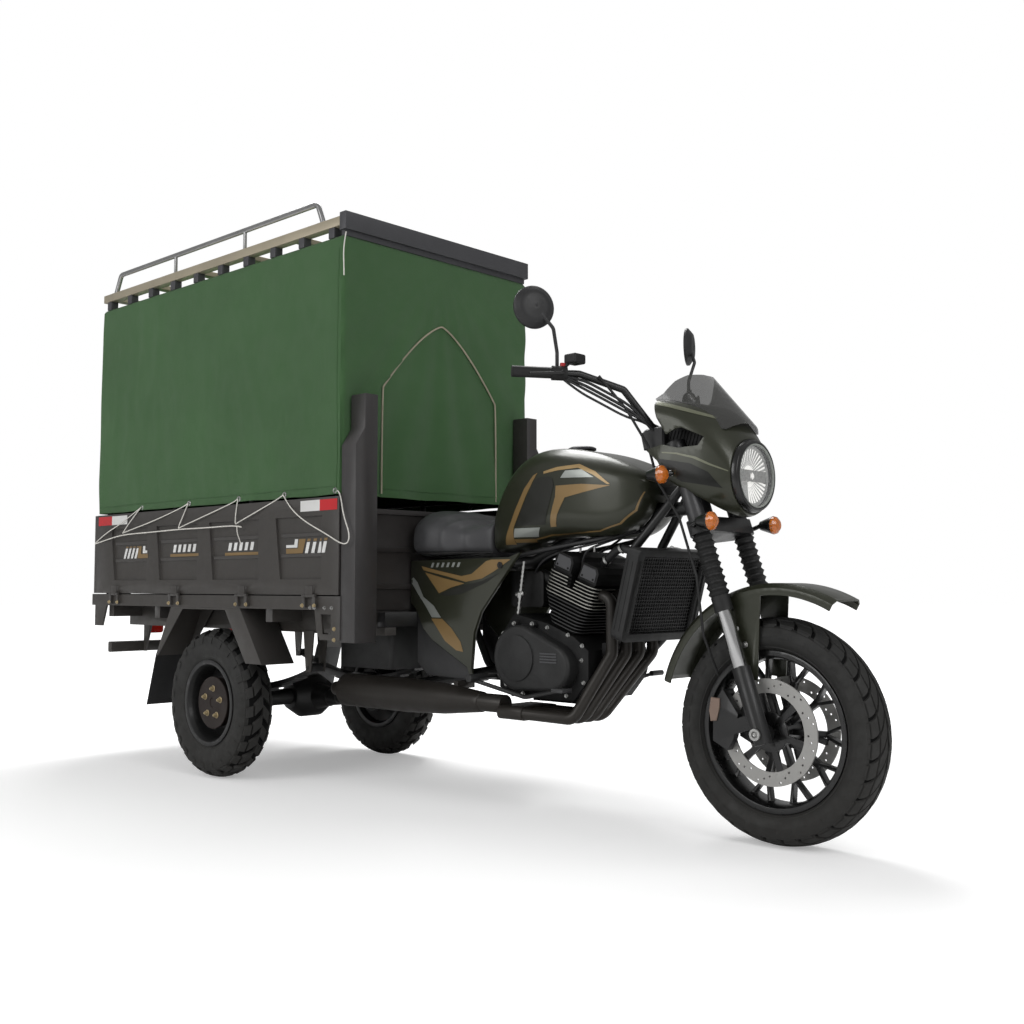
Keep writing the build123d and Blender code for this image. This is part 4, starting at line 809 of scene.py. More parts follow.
    def build(self) -> None:
        """Sets up the whole studio."""
        scene = bpy.context.scene
        scene.view_settings.view_transform = "Standard"
        self.camera()
        self.floor()
        self.sky()
        self.lamp("top_light", (-1.9, 1.5, 5.1), (0.0, 0.0, 0.6), 3.0, 235.0)
        self.lamp("front_light", (5.5, -1.5, 3.4), (0.9, 0.0, 0.7), 2.6, 85.0)
        self.lamp("side_light", (-0.8, -5.5, 3.0), (-0.5, 0.0, 0.8), 3.2, 105.0)


@dataclass
class Canopy:
    """The green cover with its front flap, hem, eyelets and corner string."""

    rear: float = -1.694
    front: float = 0.0
    half: float = 0.468
    low: float = 1.046
    high: float = 1.948
    corner: float = 0.014
    arch_half: float = 0.29
    arch_foot: float = 1.43
    arch_top: float = 1.697
    bows: tuple[float, ...] = (-1.65, -1.11, -0.575, -0.04)
    eyelets: tuple[float, ...] = (-1.317, -0.955, -0.609, -0.321, -0.03)

    def arch_height(self, y: float) -> float:
        """How high the front flap's edge is at a place across the front."""
        t = min(1.0, abs(y) / self.arch_half)
        return self.arch_top - (self.arch_top - self.arch_foot) * (0.18 * t + 0.82 * t ** 1.5)

    def outline(self) -> list[tuple[Vector, Vector]]:
        """The hem line seen from above.

        Returns:
            Each point with its outward direction.
        """
        sides = [((self.rear, -self.half), (self.front, -self.half)),
                 ((self.front, -self.half), (self.front, self.half)),
                 ((self.front, self.half), (self.rear, self.half)),
                 ((self.rear, self.half), (self.rear, -self.half))]
        line = []
        for (x0, y0), (x1, y1) in sides:
            a, b = Vector((x0, y0, 0)), Vector((x1, y1, 0))
            along = (b - a).normalized()
            out = Vector((along.y, -along.x, 0))
            flat = (b - a).length - 2 * self.corner
            count = int(flat / 0.011)
            for k in range(count + 1):
                line.append((a + along * (self.corner + flat * k / count), out.copy()))
            centre = b - along * self.corner - out * self.corner
            for k in range(1, 4):
                angle = math.pi / 2 * k / 4
                way = out * math.cos(angle) + along * math.sin(angle)
                line.append((centre + way * self.corner, way))
        return line

    def swell(self, place: Vector, out: Vector, z: float) -> float:
        """How far the cloth stands off its flat shape at one point.

        Args:
            place: the point on the hem line.
            out: its outward direction.
            z: the height.

        Returns:
            The distance, outward where it is positive.
        """
        drop = (self.high - z) / (self.high - self.low)
        taut = smooth(0.0, 0.12, drop)
        if abs(out.y) > abs(out.x):
            run = place.x
            gap = min(abs(run - b) for b in self.bows)
            sag = -0.004 * smooth(0.0, 0.25, gap) * math.sin(math.pi * min(1.0, drop * 1.05))
            folds = 0.0034 * math.sin(run * 21 + 3 * noise.noise(Vector((run * 3, 0.0, z)))) * drop ** 1.5
            hang = 0.0075 * noise.noise(Vector((run * 5.0, out.y * 3, z * 1.1))) * taut
            crease = 0.0030 * (1 - abs(2 * noise.noise(Vector((run * 9.0, out.y * 5, z * 3.0 + run))))) * taut
            pull = min(abs(run - e) for e in self.eyelets)
            near_hem = smooth(0.16, 0.0, 0.9 * (1 - drop))
            lift = 0.004 * near_hem * math.cos(min(1.0, pull / 0.14) * math.pi)
            return sag + folds + hang + crease + lift
        y = place.y
        if out.x > 0:
            inside = z < self.arch_height(y) and abs(y) < self.arch_half
            ray = math.atan2(y, self.arch_top + 0.25 - z)
            pleats = math.sin(ray * 24 + 1.3 * noise.noise(Vector((y * 4, 0, z * 2))))
            if inside:
                below = smooth(0.0, 0.5, self.arch_height(y) - z)
                return -0.006 + (0.002 + 0.008 * below) * pleats
            return (0.001 + 0.004 * pleats * smooth(0.0, 0.6, drop)
                    + 0.003 * noise.noise(Vector((4 * y, 1, 3 * z))))
        return 0.004 * noise.noise(Vector((y * 5, 2, z * 1.3))) * taut + 0.003 * math.sin(y * 26) * drop ** 2

    def cloth(self) -> bpy.types.Object:
        """The sides and the top as one sheet.

        Returns:
            The cloth.
        """
        line = self.outline()
        rows = 84
        points: list[Vector] = []
        for j in range(rows + 1):
            z = self.low + (self.high - self.low) * j / rows
            rounding = smooth(self.high - 0.014, self.high, z)
            for place, out in line:
                depth = self.swell(place, out, z) * (1 - rounding) - 0.009 * rounding ** 2
                wave = (0.0035 * noise.noise(Vector((place.x * 7, place.y * 7, 0.5)))
                        * smooth(0.1, 0.0, z - self.low))
                points.append(Vector((place.x, place.y, z + wave)) + out * depth)
        n = len(line)
        faces = [[j * n + i, j * n + (i + 1) % n, (j + 1) * n + (i + 1) % n, (j + 1) * n + i]
                 for j in range(rows) for i in range(n)]
        ring = list(range(rows * n, rows * n + n))
        middle = Vector(((self.rear + self.front) / 2, 0, 0))
        for ring_no in range(1, 9):
            share = 1 - (ring_no / 9) ** 1.2
            fresh = []
            for i in range(n):
                edge = points[rows * n + i]
                spot = Vector((middle.x + (edge.x - middle.x) * share, edge.y * share, self.high - 0.001))
                gap = min(abs(spot.x - b) for b in self.bows)
                spot.z -= 0.010 * smooth(0.0, 0.25, gap) * (1 - share) + 0.002 * noise.noise(spot * 5)
                fresh.append(len(points))
                points.append(spot)
            faces += [[ring[i], ring[(i + 1) % n], fresh[(i + 1) % n], fresh[i]] for i in range(n)]
            ring = fresh
        points.append(Vector((middle.x, 0, self.high - 0.008)))
        faces += [[ring[i], ring[(i + 1) % n], len(points) - 1] for i in range(n)]
        piece = build("canopy_cloth", points, faces, CANVAS, "chassis")
        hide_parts("tarp")
        return piece

    def seams(self) -> list[bpy.types.Object]:
        """Piping round the flap, stitched hem tape and a seam beside the front corner.

        Returns:
            The pieces.
        """
        made = []
        arch = []
        for k in range(-24, 25):
            y = self.arch_half * k / 24
            arch.append((self.front + 0.001, y, self.arch_height(y)))
        route = [(self.front + 0.001, -self.arch_half, self.low + 0.01)] + arch
        route += [(self.front + 0.001, self.arch_half, self.low + 0.01)]
        made.append(bar("flap_piping", route, 0.0032, PIPING, "chassis"))
        hem = [(p + o * (self.swell(p, o, self.low + 0.03) + 0.0008)).to_tuple()
               for p, o in self.outline()[::3]]
        hem = [(x, y, self.low + 0.028) for x, y, _ in hem]
        made.append(bar("hem_stitching", hem + hem[:1], 0.0011, CANVAS, "chassis", order=2))
        for y_side in (-1, 1):
            seam = [(self.front - 0.022, y_side * (self.half + self.swell(Vector((self.front - 0.022, 0, 0)),
                     Vector((0, y_side, 0)), z) + 0.0006), z) for z in
                    [self.low + 0.02 + k * 0.044 for k in range(20)]]
            made.append(bar(f"corner_seam_{'left' if y_side > 0 else 'right'}", seam, 0.0014, CANVAS,
                            "chassis"))
        return made

    def rings(self) -> bpy.types.Object:
        """Metal eyelets along the hem on both sides.

        Returns:
            The joined eyelets.
        """
        shapes = []
        for side in (-1, 1):
            for x in self.eyelets:
                profile = [(0.0055, 0.0), (0.0085, 0.0028), (0.0115, 0.0)]
                shapes.append(lathe(profile, 18, (x, side * (self.half + 0.004), self.low + 0.012),
                                    (0, side, 0)))
        points, faces = merge(shapes)
        return build("hem_eyelets", points, faces, STEEL, "chassis")

    def build(self) -> None:
        cloth = self.cloth()
        goes_with = self.seams() + [self.rings()]
        string = bar("corner_string", [(0.006, -0.462, 1.955), (0.014, -0.474, 1.93), (0.012, -0.478, 1.88),
                                       (0.013, -0.476, 1.83), (0.011, -0.474, 1.80)], 0.0022, ROPE_WHITE,
                     "chassis")
        goes_with.append(string)


@dataclass
class Lacing:
    """The white rope laced between the cover's hem and the right gate."""

    face_y: float = -0.4880
    hem_y: float = -0.4765
    thick: float = 0.0022

    def build(self) -> None:
        """Builds the laced rope, the lower line and its tail."""
        face, hem = self.face_y, self.hem_y
        lace = [(-1.70, hem, 0.92), (-1.60, face, 0.955), (-1.47, face - 0.003, 0.99), (-1.317, hem, 1.058),
                (-1.317, hem, 1.06), (-1.40, face, 0.99), (-1.438, face - 0.004, 0.952),
                (-1.438, face - 0.004, 0.955), (-1.2, face, 0.995), (-0.99, hem, 1.045), (-0.955, hem, 1.058),
                (-0.955, hem, 1.055), (-0.985, face, 0.99), (-1.0, face - 0.004, 0.959),
                (-0.99, face - 0.004, 0.962), (-0.8, face, 1.005), (-0.64, hem, 1.045), (-0.609, hem, 1.058),
                (-0.609, hem, 1.052), (-0.604, face, 1.0), (-0.60, face - 0.004, 0.961),
                (-0.59, face - 0.004, 0.965), (-0.48, face, 1.0), (-0.36, hem, 1.042), (-0.321, hem, 1.058),
                (-0.321, hem, 1.055), (-0.25, face - 0.002, 1.0), (-0.172, face - 0.004, 0.956),
                (-0.041, face - 0.006, 0.906), (0.03, face - 0.006, 0.874), (0.068, face - 0.005, 0.872),
                (0.078, face - 0.005, 0.905), (0.04, face - 0.003, 0.97), (0.005, hem, 1.05),
                (-0.01, hem, 1.056)]
        rope = bar("lacing_rope", lace, self.thick, ROPE_WHITE, "side_gate_right")
        low = [(-1.705, hem, 0.915), (-1.58, face, 0.93), (-1.438, face - 0.001, 0.948),
               (-1.2, face - 0.001, 0.951), (-1.0, face - 0.001, 0.956), (-0.8, face - 0.001, 0.955),
               (-0.6, face - 0.001, 0.958), (-0.562, face - 0.002, 0.95)]
        line = bar("lower_rope", low, self.thick * 1.15, ROPE_WHITE, "side_gate_right")
        tail = [(-0.588, face - 0.004, 0.952), (-0.585, face - 0.006, 0.93), (-0.57, face - 0.004, 0.905),
                (-0.562, face - 0.003, 0.885)]
        end = bar("rope_tail", tail, self.thick * 0.8, ROPE_WHITE, "side_gate_right")
        for piece in (rope, line, end):
            LOG.info("rope piece %s", piece.name)


@dataclass
class Gates:
    """Tape, stripes, bolts and rivets on the drop sides."""

    stripe_low: float = 0.846
    stripe_high: float = 0.897
    hinges: tuple[float, ...] = (-1.51, -1.03, -0.56, -0.15)
    bodies: dict[int, str] = field(default_factory=lambda: {-1: "side_gate_right", 1: "side_gate_left"})

    def panel_stripes(self, side: int, surface: Surface) -> None:
        """Generic tan and white bars inside the recesses.

        Args:
            side: 1 for the rider's left, -1 for the right.
            surface: the gate's surface.
        """
        body = self.bodies[side]
        tag = "right" if side < 0 else "left"
        low, high = self.stripe_low, self.stripe_high
        for k in range(4):
            x = -1.468 + k * 0.030
            sticker(f"rear_bar_{tag}_{k}", [(x, low), (x + 0.017, low), (x + 0.036, high - 0.008),
                                            (x + 0.019, high - 0.008)], WHITE_TAPE, surface, side, body)
            sticker(f"rear_bar_top_{tag}_{k}", [(x + 0.020, high - 0.005), (x + 0.038, high - 0.005),
                                                (x + 0.040, high), (x + 0.022, high)], TAN, surface, side, body)
            x = -0.200 + k * 0.036
            sticker(f"front_bar_{tag}_{k}", [(x, low), (x + 0.018, low), (x + 0.030, high - 0.012),
                                             (x + 0.012, high - 0.012)], WHITE_TAPE, surface, side, body)
            sticker(f"front_bar_top_{tag}_{k}", [(x + 0.013, high - 0.009), (x + 0.031, high - 0.009),
                                                 (x + 0.034, high), (x + 0.016, high)],
                    TAN, surface, side, body)
        sticker(f"rear_corner_{tag}", [(-1.345, high), (-1.320, high), (-1.325, low + 0.018),
                                       (-1.25, low + 0.018), (-1.25, low), (-1.352, low)],
                TAN, surface, side, body)
        sticker(f"rear_inner_{tag}", [(-1.308, high), (-1.290, high), (-1.290, low + 0.032),
                                      (-1.25, low + 0.032), (-1.25, low + 0.021), (-1.310, low + 0.021)],
                WHITE_TAPE, surface, side, body)
        sticker(f"front_corner_{tag}", [(-0.31, low), (-0.213, low), (-0.195, high), (-0.235, high),
                                        (-0.24, low + 0.018), (-0.31, low + 0.018)], TAN, surface, side, body)
        sticker(f"front_inner_{tag}", [(-0.31, low + 0.021), (-0.244, low + 0.021), (-0.240, high),
                                       (-0.258, high), (-0.262, low + 0.031), (-0.31, low + 0.031)], WHITE_TAPE,
                surface, side, body)
        for k, (x0, x1, z) in enumerate(((-1.093, -0.868, 0.848), (-0.70, -0.476, 0.846))):
            sticker(f"middle_line_{tag}_{k}", [(x0, z), (x1, z), (x1, z + 0.011), (x0, z + 0.011)], TAN,
                    surface, side, body)
            for b in range(5):
                x = x0 + 0.02 + b * 0.036
                sticker(f"middle_bar_{tag}_{k}_{b}", [(x, z + 0.018), (x + 0.02, z + 0.018),
                                                      (x + 0.028, z + 0.048), (x + 0.008, z + 0.048)],
                        WHITE_TAPE, surface, side, body)

    def tape(self, side: int, surface: Surface) -> None:
        """Red and white reflecting tape near the top corners.

        Args:
            side: 1 for the rider's left, -1 for the right.
            surface: the gate's surface.
        """
        body = self.bodies[side]
        tag = "right" if side < 0 else "left"
        for name, x0, x1, finish in (("rear_red", -1.672, -1.555, RED_TAPE),
                                     ("rear_white", -1.555, -1.425, WHITE_TAPE),
                                     ("front_white", -0.215, -0.105, WHITE_TAPE),
                                     ("front_red", -0.105, -0.008, RED_TAPE)):
            sticker(f"tape_{name}_{tag}", [(x0, 0.992), (x1, 0.992), (x1, 1.030), (x0, 1.030)], finish, surface,
                    side, body, step=0.03)

    def bolts(self) -> None:
        """Bolt pairs at the hinges and rivets on the rails and corner plates."""
        shapes, rivets = [], []
        rail = Surface("bed_frame")
        hinge_spots = [(x + dx, 0.663) for x in self.hinges for dx in (-0.034, 0.034)]
        rivet_spots = [(x, 0.656) for x in (-0.155, -0.115, -0.075, -0.035)]
        corner_spots = [(-0.020, z) for z in (0.585, 0.548)]
        for side in (-1, 1):
            for spots, made, size in ((hinge_spots, shapes, 0.0058), (rivet_spots, rivets, 0.0052),
                                      (corner_spots, shapes, 0.0056)):
                for x, z in spots:
                    found = rail.along_y(x, z, side)
                    if found and abs(found[0].y) > 0.40:
                        made.append(hex_bolt(found[0], (0, side, 0), size))
        build("hinge_bolts", *merge(shapes), BRASS, "chassis")
        build("rail_rivets", *merge(rivets), STEEL, "chassis")

    def build(self) -> None:
        """Builds everything on both side gates."""
        for side, node in ((-1, "side_gate_right"), (1, "side_gate_left")):
            surface = Surface(node)
            self.panel_stripes(side, surface)
            self.tape(side, surface)
        self.bolts()
        LOG.info("gates finished")


@dataclass(frozen=True)
class TyreSize:
    """A tyre's outline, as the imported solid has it."""

    radius: float
    width: float
    lip: float
    bead: float

    def profile(self, count: int = 40) -> list[Flat]:
        """The outside from the left bead over the crown to the right bead.

        Args:
            count: how many points it has.

        Returns:
            Points of (radius, place across).
        """
        bulge = ((self.lip + self.radius) / 2, self.width / 2)
        shoulder = (self.radius - 0.16 * self.width, 0.43 * self.width)
        wall = arc((self.lip, self.bead), bulge, shoulder, count // 4)
        crown = arc(shoulder, (self.radius, 0.0), (shoulder[0], -shoulder[1]), count // 2)
        other = [(r, -y) for r, y in reversed(wall)]
        return wall[:-1] + crown + other[1:]


def arc(start: Flat, middle: Flat, end: Flat, count: int) -> list[Flat]:
    """Points on the circle through three points, from start to end.

    Args:
        start: the first point.
        middle: a point between.
        end: the last point.
        count: how many steps it has.

    Returns:
        The points in order.
    """
    (ax, ay), (bx, by), (cx, cy) = start, middle, end
    d = 2 * (ax * (by - cy) + bx * (cy - ay) + cx * (ay - by))
    a2, b2, c2 = ax * ax + ay * ay, bx * bx + by * by, cx * cx + cy * cy
    ux = (a2 * (by - cy) + b2 * (cy - ay) + c2 * (ay - by)) / d
    uy = (a2 * (cx - bx) + b2 * (ax - cx) + c2 * (bx - ax)) / d
    r = math.hypot(ax - ux, ay - uy)
    a0, a1, a2 = (math.atan2(y - uy, x - ux) for x, y in (start, middle, end))
    span = (a2 - a0) % (2 * math.pi)
    if (a1 - a0) % (2 * math.pi) > span:
        span -= 2 * math.pi
    return [(ux + r * math.cos(a0 + span * k / count), uy + r * math.sin(a0 + span * k / count))
            for k in range(count + 1)]


class Tread(Enum):
    """The two tread patterns."""

    ROAD_ARCS = "curved road blocks"
    CHEVRON_LUGS = "chevron lugs"


@dataclass
class Tyre:
    """A tyre with its carcass, tread blocks and sidewall rings, and painted shade on the floor between the
    blocks.
    """

    name: str
    node: str
    body: str
    size: TyreSize
    centre: Point
    tread: Tread
    pitches: int
    depth: float

    def at(self, across: float, angle: float, height: float) -> Vector:
        """A point on the tread: place across from -1 to 1, angle round and height over the groove floor.

        Args:
            across: the place across.
            angle: the angle round.
            height: the height.

        Returns:
            The point.
        """
        half = 0.47 * self.size.width
        y = across * half
        crown = arc((self.size.radius - 0.16 * self.size.width, 0.43 * self.size.width),
                    (self.size.radius, 0.0),
                    (self.size.radius - 0.16 * self.size.width, -0.43 * self.size.width), 24)
        r = crown[-1][0]
        for (r0, y0), (r1, y1) in zip(crown, crown[1:]):
            if y1 <= y <= y0:
                r = r0 + (r1 - r0) * (y - y0) / (y1 - y0)
        edge = 0.43 * self.size.width
        if abs(y) > edge:
            r = crown[-1][0] - (abs(y) - edge) * 2.2
        r -= self.depth - height
        return Vector((self.centre[0] + r * math.cos(angle), self.centre[1] + y,
                       self.centre[2] + r * math.sin(angle)))

    def block(self, across: Sequence[float], start: Callable[[float], float], end: Callable[[float], float],
              inset: float = 0.0016) -> Shape:
        """One tread block between two lines across the tyre.

        Args:
            across: its places across, from -1 to 1.
            start: the angle where it starts at each place.
            end: the angle where it ends.
            inset: how much narrower its top is.

        Returns:
            The corners and faces.
        """
        points, faces = [], []
        draft, taper = inset / self.size.radius, 14 * inset
        low, high = across[0], across[-1]
        for k, a in enumerate(across):
            inner = min(high - taper, max(low + taper, a))
            points += [self.at(a, start(a), -0.001), self.at(inner, start(a) + draft, self.depth - 0.0003),
                       self.at(inner, end(a) - draft, self.depth - 0.0003), self.at(a, end(a), -0.001)]
            if k:
                n = 4 * k
                for i in range(3):
                    faces.append([n - 4 + i, n - 3 + i, n + 1 + i, n + i])
        faces.append([3, 2, 1, 0])
        n = 4 * (len(across) - 1)
        faces.append([n, n + 1, n + 2, n + 3])
        return points, faces

    def road_arcs(self) -> list[Shape]:
        """Curved blocks that sweep from each shoulder to the middle.

        Returns:
            The blocks.
        """
        shapes = []
        pitch = 2 * math.pi / self.pitches
        gap = 0.15 * pitch
        for k in range(self.pitches):
            for side in (-1, 1):
                base = k * pitch + (0.5 * pitch if side > 0 else 0.0)

                def lean(a: float, base: float = base) -> float:
                    """The curved line that a groove follows."""
                    t = abs(a)
                    return base + pitch * 1.5 * max(0.0, 1 - t) ** 2.2

                inner = [side * (0.04 + 0.46 * i / 6) for i in range(7)]
                outer = [side * (0.53 + 0.33 * i / 4) for i in range(5)]
                edge = [side * (0.885 + 0.20 * i / 3) for i in range(4)]
                for places, widen in ((inner, 0.0), (outer, 0.04), (edge, 0.22)):
                    ordered = sorted(places)
                    shapes.append(self.block(ordered, lambda a, w=widen: lean(a) + gap * (0.5 + w * 2),
                                             lambda a, w=widen: lean(a) + pitch - gap * (0.5 + w * 2)))
        return shapes

    def chevron_lugs(self) -> list[Shape]:
        """Slanted lugs that meet in the middle, with blocks on the shoulders.

        Returns:
            The lugs.
        """
        shapes = []
        pitch = 2 * math.pi / self.pitches
        for k in range(self.pitches):
            for side in (-1, 1):
                base = k * pitch + (0.5 * pitch if side > 0 else 0.0)

                def lean(a: float, base: float = base) -> float:
                    """The zigzag line of one lug's front edge."""
                    t = abs(a)
                    return base + pitch * (0.85 * (1 - t) if t < 0.55 else 0.3825 + 0.25 * (0.55 - t))

                inner = sorted(side * (-0.02 + 0.55 * i / 5) for i in range(6))
                outer = sorted(side * (0.585 + 0.36 * i / 4) for i in range(5))
                tip = sorted(side * (0.96 + 0.14 * i / 2) for i in range(3))
                for places, first, last in ((inner, 0.16, 0.80), (outer, 0.14, 0.72), (tip, 0.20, 0.62)):
                    shapes.append(self.block(places, lambda a, f=first: lean(a) + f * pitch,
                                             lambda a, e=last: lean(a) + e * pitch))
        return shapes

    def build(self) -> None:
        """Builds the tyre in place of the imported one."""
        profile = []
        for r, y in self.size.profile():
            worn = self.depth * smooth(0.50, 0.42, abs(y) / self.size.width)
            reach = smooth(self.size.radius - 0.20 * self.size.width,
                           self.size.radius - 0.14 * self.size.width, r)
            profile.append((r - max(worn, self.depth * reach) * reach, y))
        profile += [(self.size.lip - 0.010, -self.size.bead + 0.002),
                    (self.size.lip - 0.010, self.size.bead - 0.002)]
        shapes = [lathe(profile, 128, self.centre, (0, 1, 0), closed=True)]
        shapes += self.road_arcs() if self.tread is Tread.ROAD_ARCS else self.chevron_lugs()
        middle_r = (self.size.lip + self.size.radius) / 2
        for r, h in ((self.size.lip + 0.010, 0.0012), (middle_r + 0.016, 0.0010)):
            for side in (-1, 1):
                y = self.side_at(r) * side
                ring = [(r - 0.0022, y), (r - 0.0012, y + side * h), (r + 0.0012, y + side * h),
                        (r + 0.0022, y)]
                shapes.append(lathe(ring, 96, self.centre, (0, 1, 0)))
        points, faces = merge(shapes)
        piece = build(self.name, points, faces, TYRE, self.body)
        # Painted shade: the carcass faces near the crown, the floor between the blocks, take the darker copy of
        # the rubber, standing in for the shade between the blocks.
        piece.data.materials.append(GROOVE_SHADE.material())
        count = len(profile)
        for k in range(128 * count):
            if (min(profile[k % count][0], profile[(k + 1) % count][0])
                    > self.size.radius - 0.19 * self.size.width):
                piece.data.polygons[k].material_index = 1
        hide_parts(self.node)
        LOG.info("%s with %s, %d faces", self.name, self.tread.value, len(faces))

    def side_at(self, r: float) -> float:
        """How far out the wall is at a radius."""
        wall = self.size.profile()
        best = min((p for p in wall if p[1] > 0), key=lambda p: abs(p[0] - r))
        return best[1] - 0.0004


@dataclass
class Seat:
    """The rider's seat: a raised back, a dip and a nose that climbs to the tank."""

    rear: float = 0.033
    nose: float = 0.358
    low: float = 0.833

    def crest(self, t: float) -> float:
        """The top's height along the seat, from 0 at the back to 1 at the nose.

        Args:
            t: the place, from 0 at the back to 1 at the nose.

        Returns:
            The height.
        """
        # Place along and height.
        rows = ((0.0, 0.960), (0.08, 0.990), (0.2, 1.002), (0.38, 0.992), (0.54, 0.968), (0.68, 0.943),
                (0.78, 0.938), (0.9, 0.950), (1.0, 0.966))
        for (t0, z0), (t1, z1) in zip(rows, rows[1:]):
            if t0 <= t <= t1:
                return z0 + (z1 - z0) * smooth(t0, t1, t)
        return rows[-1][1]

    def half(self, t: float) -> float:
        """Half the seat's width along it.

        Args:
            t: the place, from 0 at the back to 1 at the nose.

        Returns:
            Half the width.
        """
        # Place along and half width.
        rows = ((0.0, 0.170), (0.10, 0.198), (0.3, 0.204), (0.5, 0.190), (0.74, 0.148), (1.0, 0.096))
        for (t0, w0), (t1, w1) in zip(rows, rows[1:]):
            if t0 <= t <= t1:
                return w0 + (w1 - w0) * smooth(t0, t1, t)
        return rows[-1][1]

    def build(self) -> None:
        """Builds the padded seat with its edge seam."""
        cuts, ring = 48, 48
        points, faces = [], []
        seam_line = []
        mid = self.low + 0.050
        for j in range(cuts + 1):
            t = j / cuts
            x = self.rear + (self.nose - self.rear) * t
            end = math.sqrt(max(0.0, 1 - max(0.0, 1 - t / 0.16) ** 2.4))
            half, top = self.half(t) * (0.74 + 0.26 * end), mid + (self.crest(t) - mid) * (0.45 + 0.55 * end)
            for i in range(ring):
                angle = 2 * math.pi * i / ring
                cy, cz = math.cos(angle), math.sin(angle)
                y = half * math.copysign(abs(cy) ** 0.62, cy)
                tall = top - mid if cz > 0 else mid - self.low
                points.append(Vector((x, y, mid + tall * math.copysign(abs(cz) ** 0.66, cz))))
            seam_line.append((x, half * 0.995, self.low + 0.012))
        for j in range(cuts):
            for i in range(ring):
                k = (i + 1) % ring
                faces.append([j * ring + i, j * ring + k, (j + 1) * ring + k, (j + 1) * ring + i])
        faces.append(list(range(ring))[::-1])
        faces.append(list(range(cuts * ring, cuts * ring + ring)))
        piece = build("seat_cushion", points, faces, VINYL, "chassis")
        soft = piece.modifiers.new("smooth_cushion", "SUBSURF")
        soft.levels = soft.render_levels = 1
        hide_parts("seat")
        for side in (-1, 1):
            line = [(x, side * y * 0.93, z) for x, y, z in seam_line[3:]]
            bar(f"seat_edge_{'left' if side > 0 else 'right'}", line, 0.0030, RUBBER, "chassis")
        LOG.info("seat built")


@dataclass
class Tank:
    """Painted shapes on the tank."""

    knee: Outline = ((0.497, 0.930), (0.560, 1.025), (0.600, 1.076), (0.618, 1.084), (0.664, 1.084),
                     (0.680, 1.076), (0.686, 1.055), (0.664, 0.990), (0.640, 0.930))
    band: Outline = ((0.432, 0.870), (0.478, 0.870), (0.490, 0.926), (0.552, 1.025), (0.592, 1.078),
                     (0.612, 1.100), (0.590, 1.092), (0.545, 1.052), (0.498, 0.985), (0.455, 0.912))
    silver: Outline = ((0.495, 0.922), (0.612, 0.922), (0.585, 0.893), (0.484, 0.893))
    bars: Outline = ((0.482, 0.887), (0.570, 0.887), (0.555, 0.876), (0.482, 0.876))
    arrow_head: Outline = ((0.695, 1.052), (0.800, 1.052), (0.906, 1.042), (0.733, 1.012), (0.692, 1.012))
    arrow_stem: Outline = ((0.691, 1.014), (0.735, 1.014), (0.700, 0.960), (0.682, 0.922), (0.658, 0.922))
    arc_line: Outline = ((0.640, 1.102), (0.700, 1.112), (0.787, 1.116), (0.852, 1.088), (0.905, 1.046),
                         (0.895, 1.046), (0.845, 1.078), (0.785, 1.104), (0.705, 1.101), (0.640, 1.094))
    lower_edge: Outline = ((0.560, 0.886), (0.640, 0.899), (0.750, 0.902), (0.850, 0.905), (0.925, 0.926),
                           (0.975, 0.965), (1.000, 1.020), (1.003, 1.020), (0.979, 0.962), (0.928, 0.922),
                           (0.850, 0.9015), (0.750, 0.8985), (0.640, 0.8955), (0.560, 0.8825))
    flash: Outline = ((0.715, 1.076), (0.735, 1.098), (0.800, 1.098), (0.848, 1.070), (0.810, 1.072))

    def build(self) -> None:
        """Lays the painted shapes on both sides."""
        surface = Surface("fuel_tank")
        for side in (-1, 1):
            tag = "right" if side < 0 else "left"
            for name, shape, finish in (("knee", self.knee, KNEE_DARK), ("band", self.band, TAN),
                                        ("silver", self.silver, SILVER), ("bars", self.bars, TAN),
                                        ("arrow_head", self.arrow_head, TAN),
                                        ("arrow_stem", self.arrow_stem, TAN),
                                        ("arc", self.arc_line, TAN_LIGHT),
                                        ("flash", self.flash, SILVER),
                                        ("lower_edge", self.lower_edge, TAN)):
                sticker(f"tank_{name}_{tag}", shape, finish, surface, side, "chassis", step=0.007, proud=0.0008)
        LOG.info("tank painted")


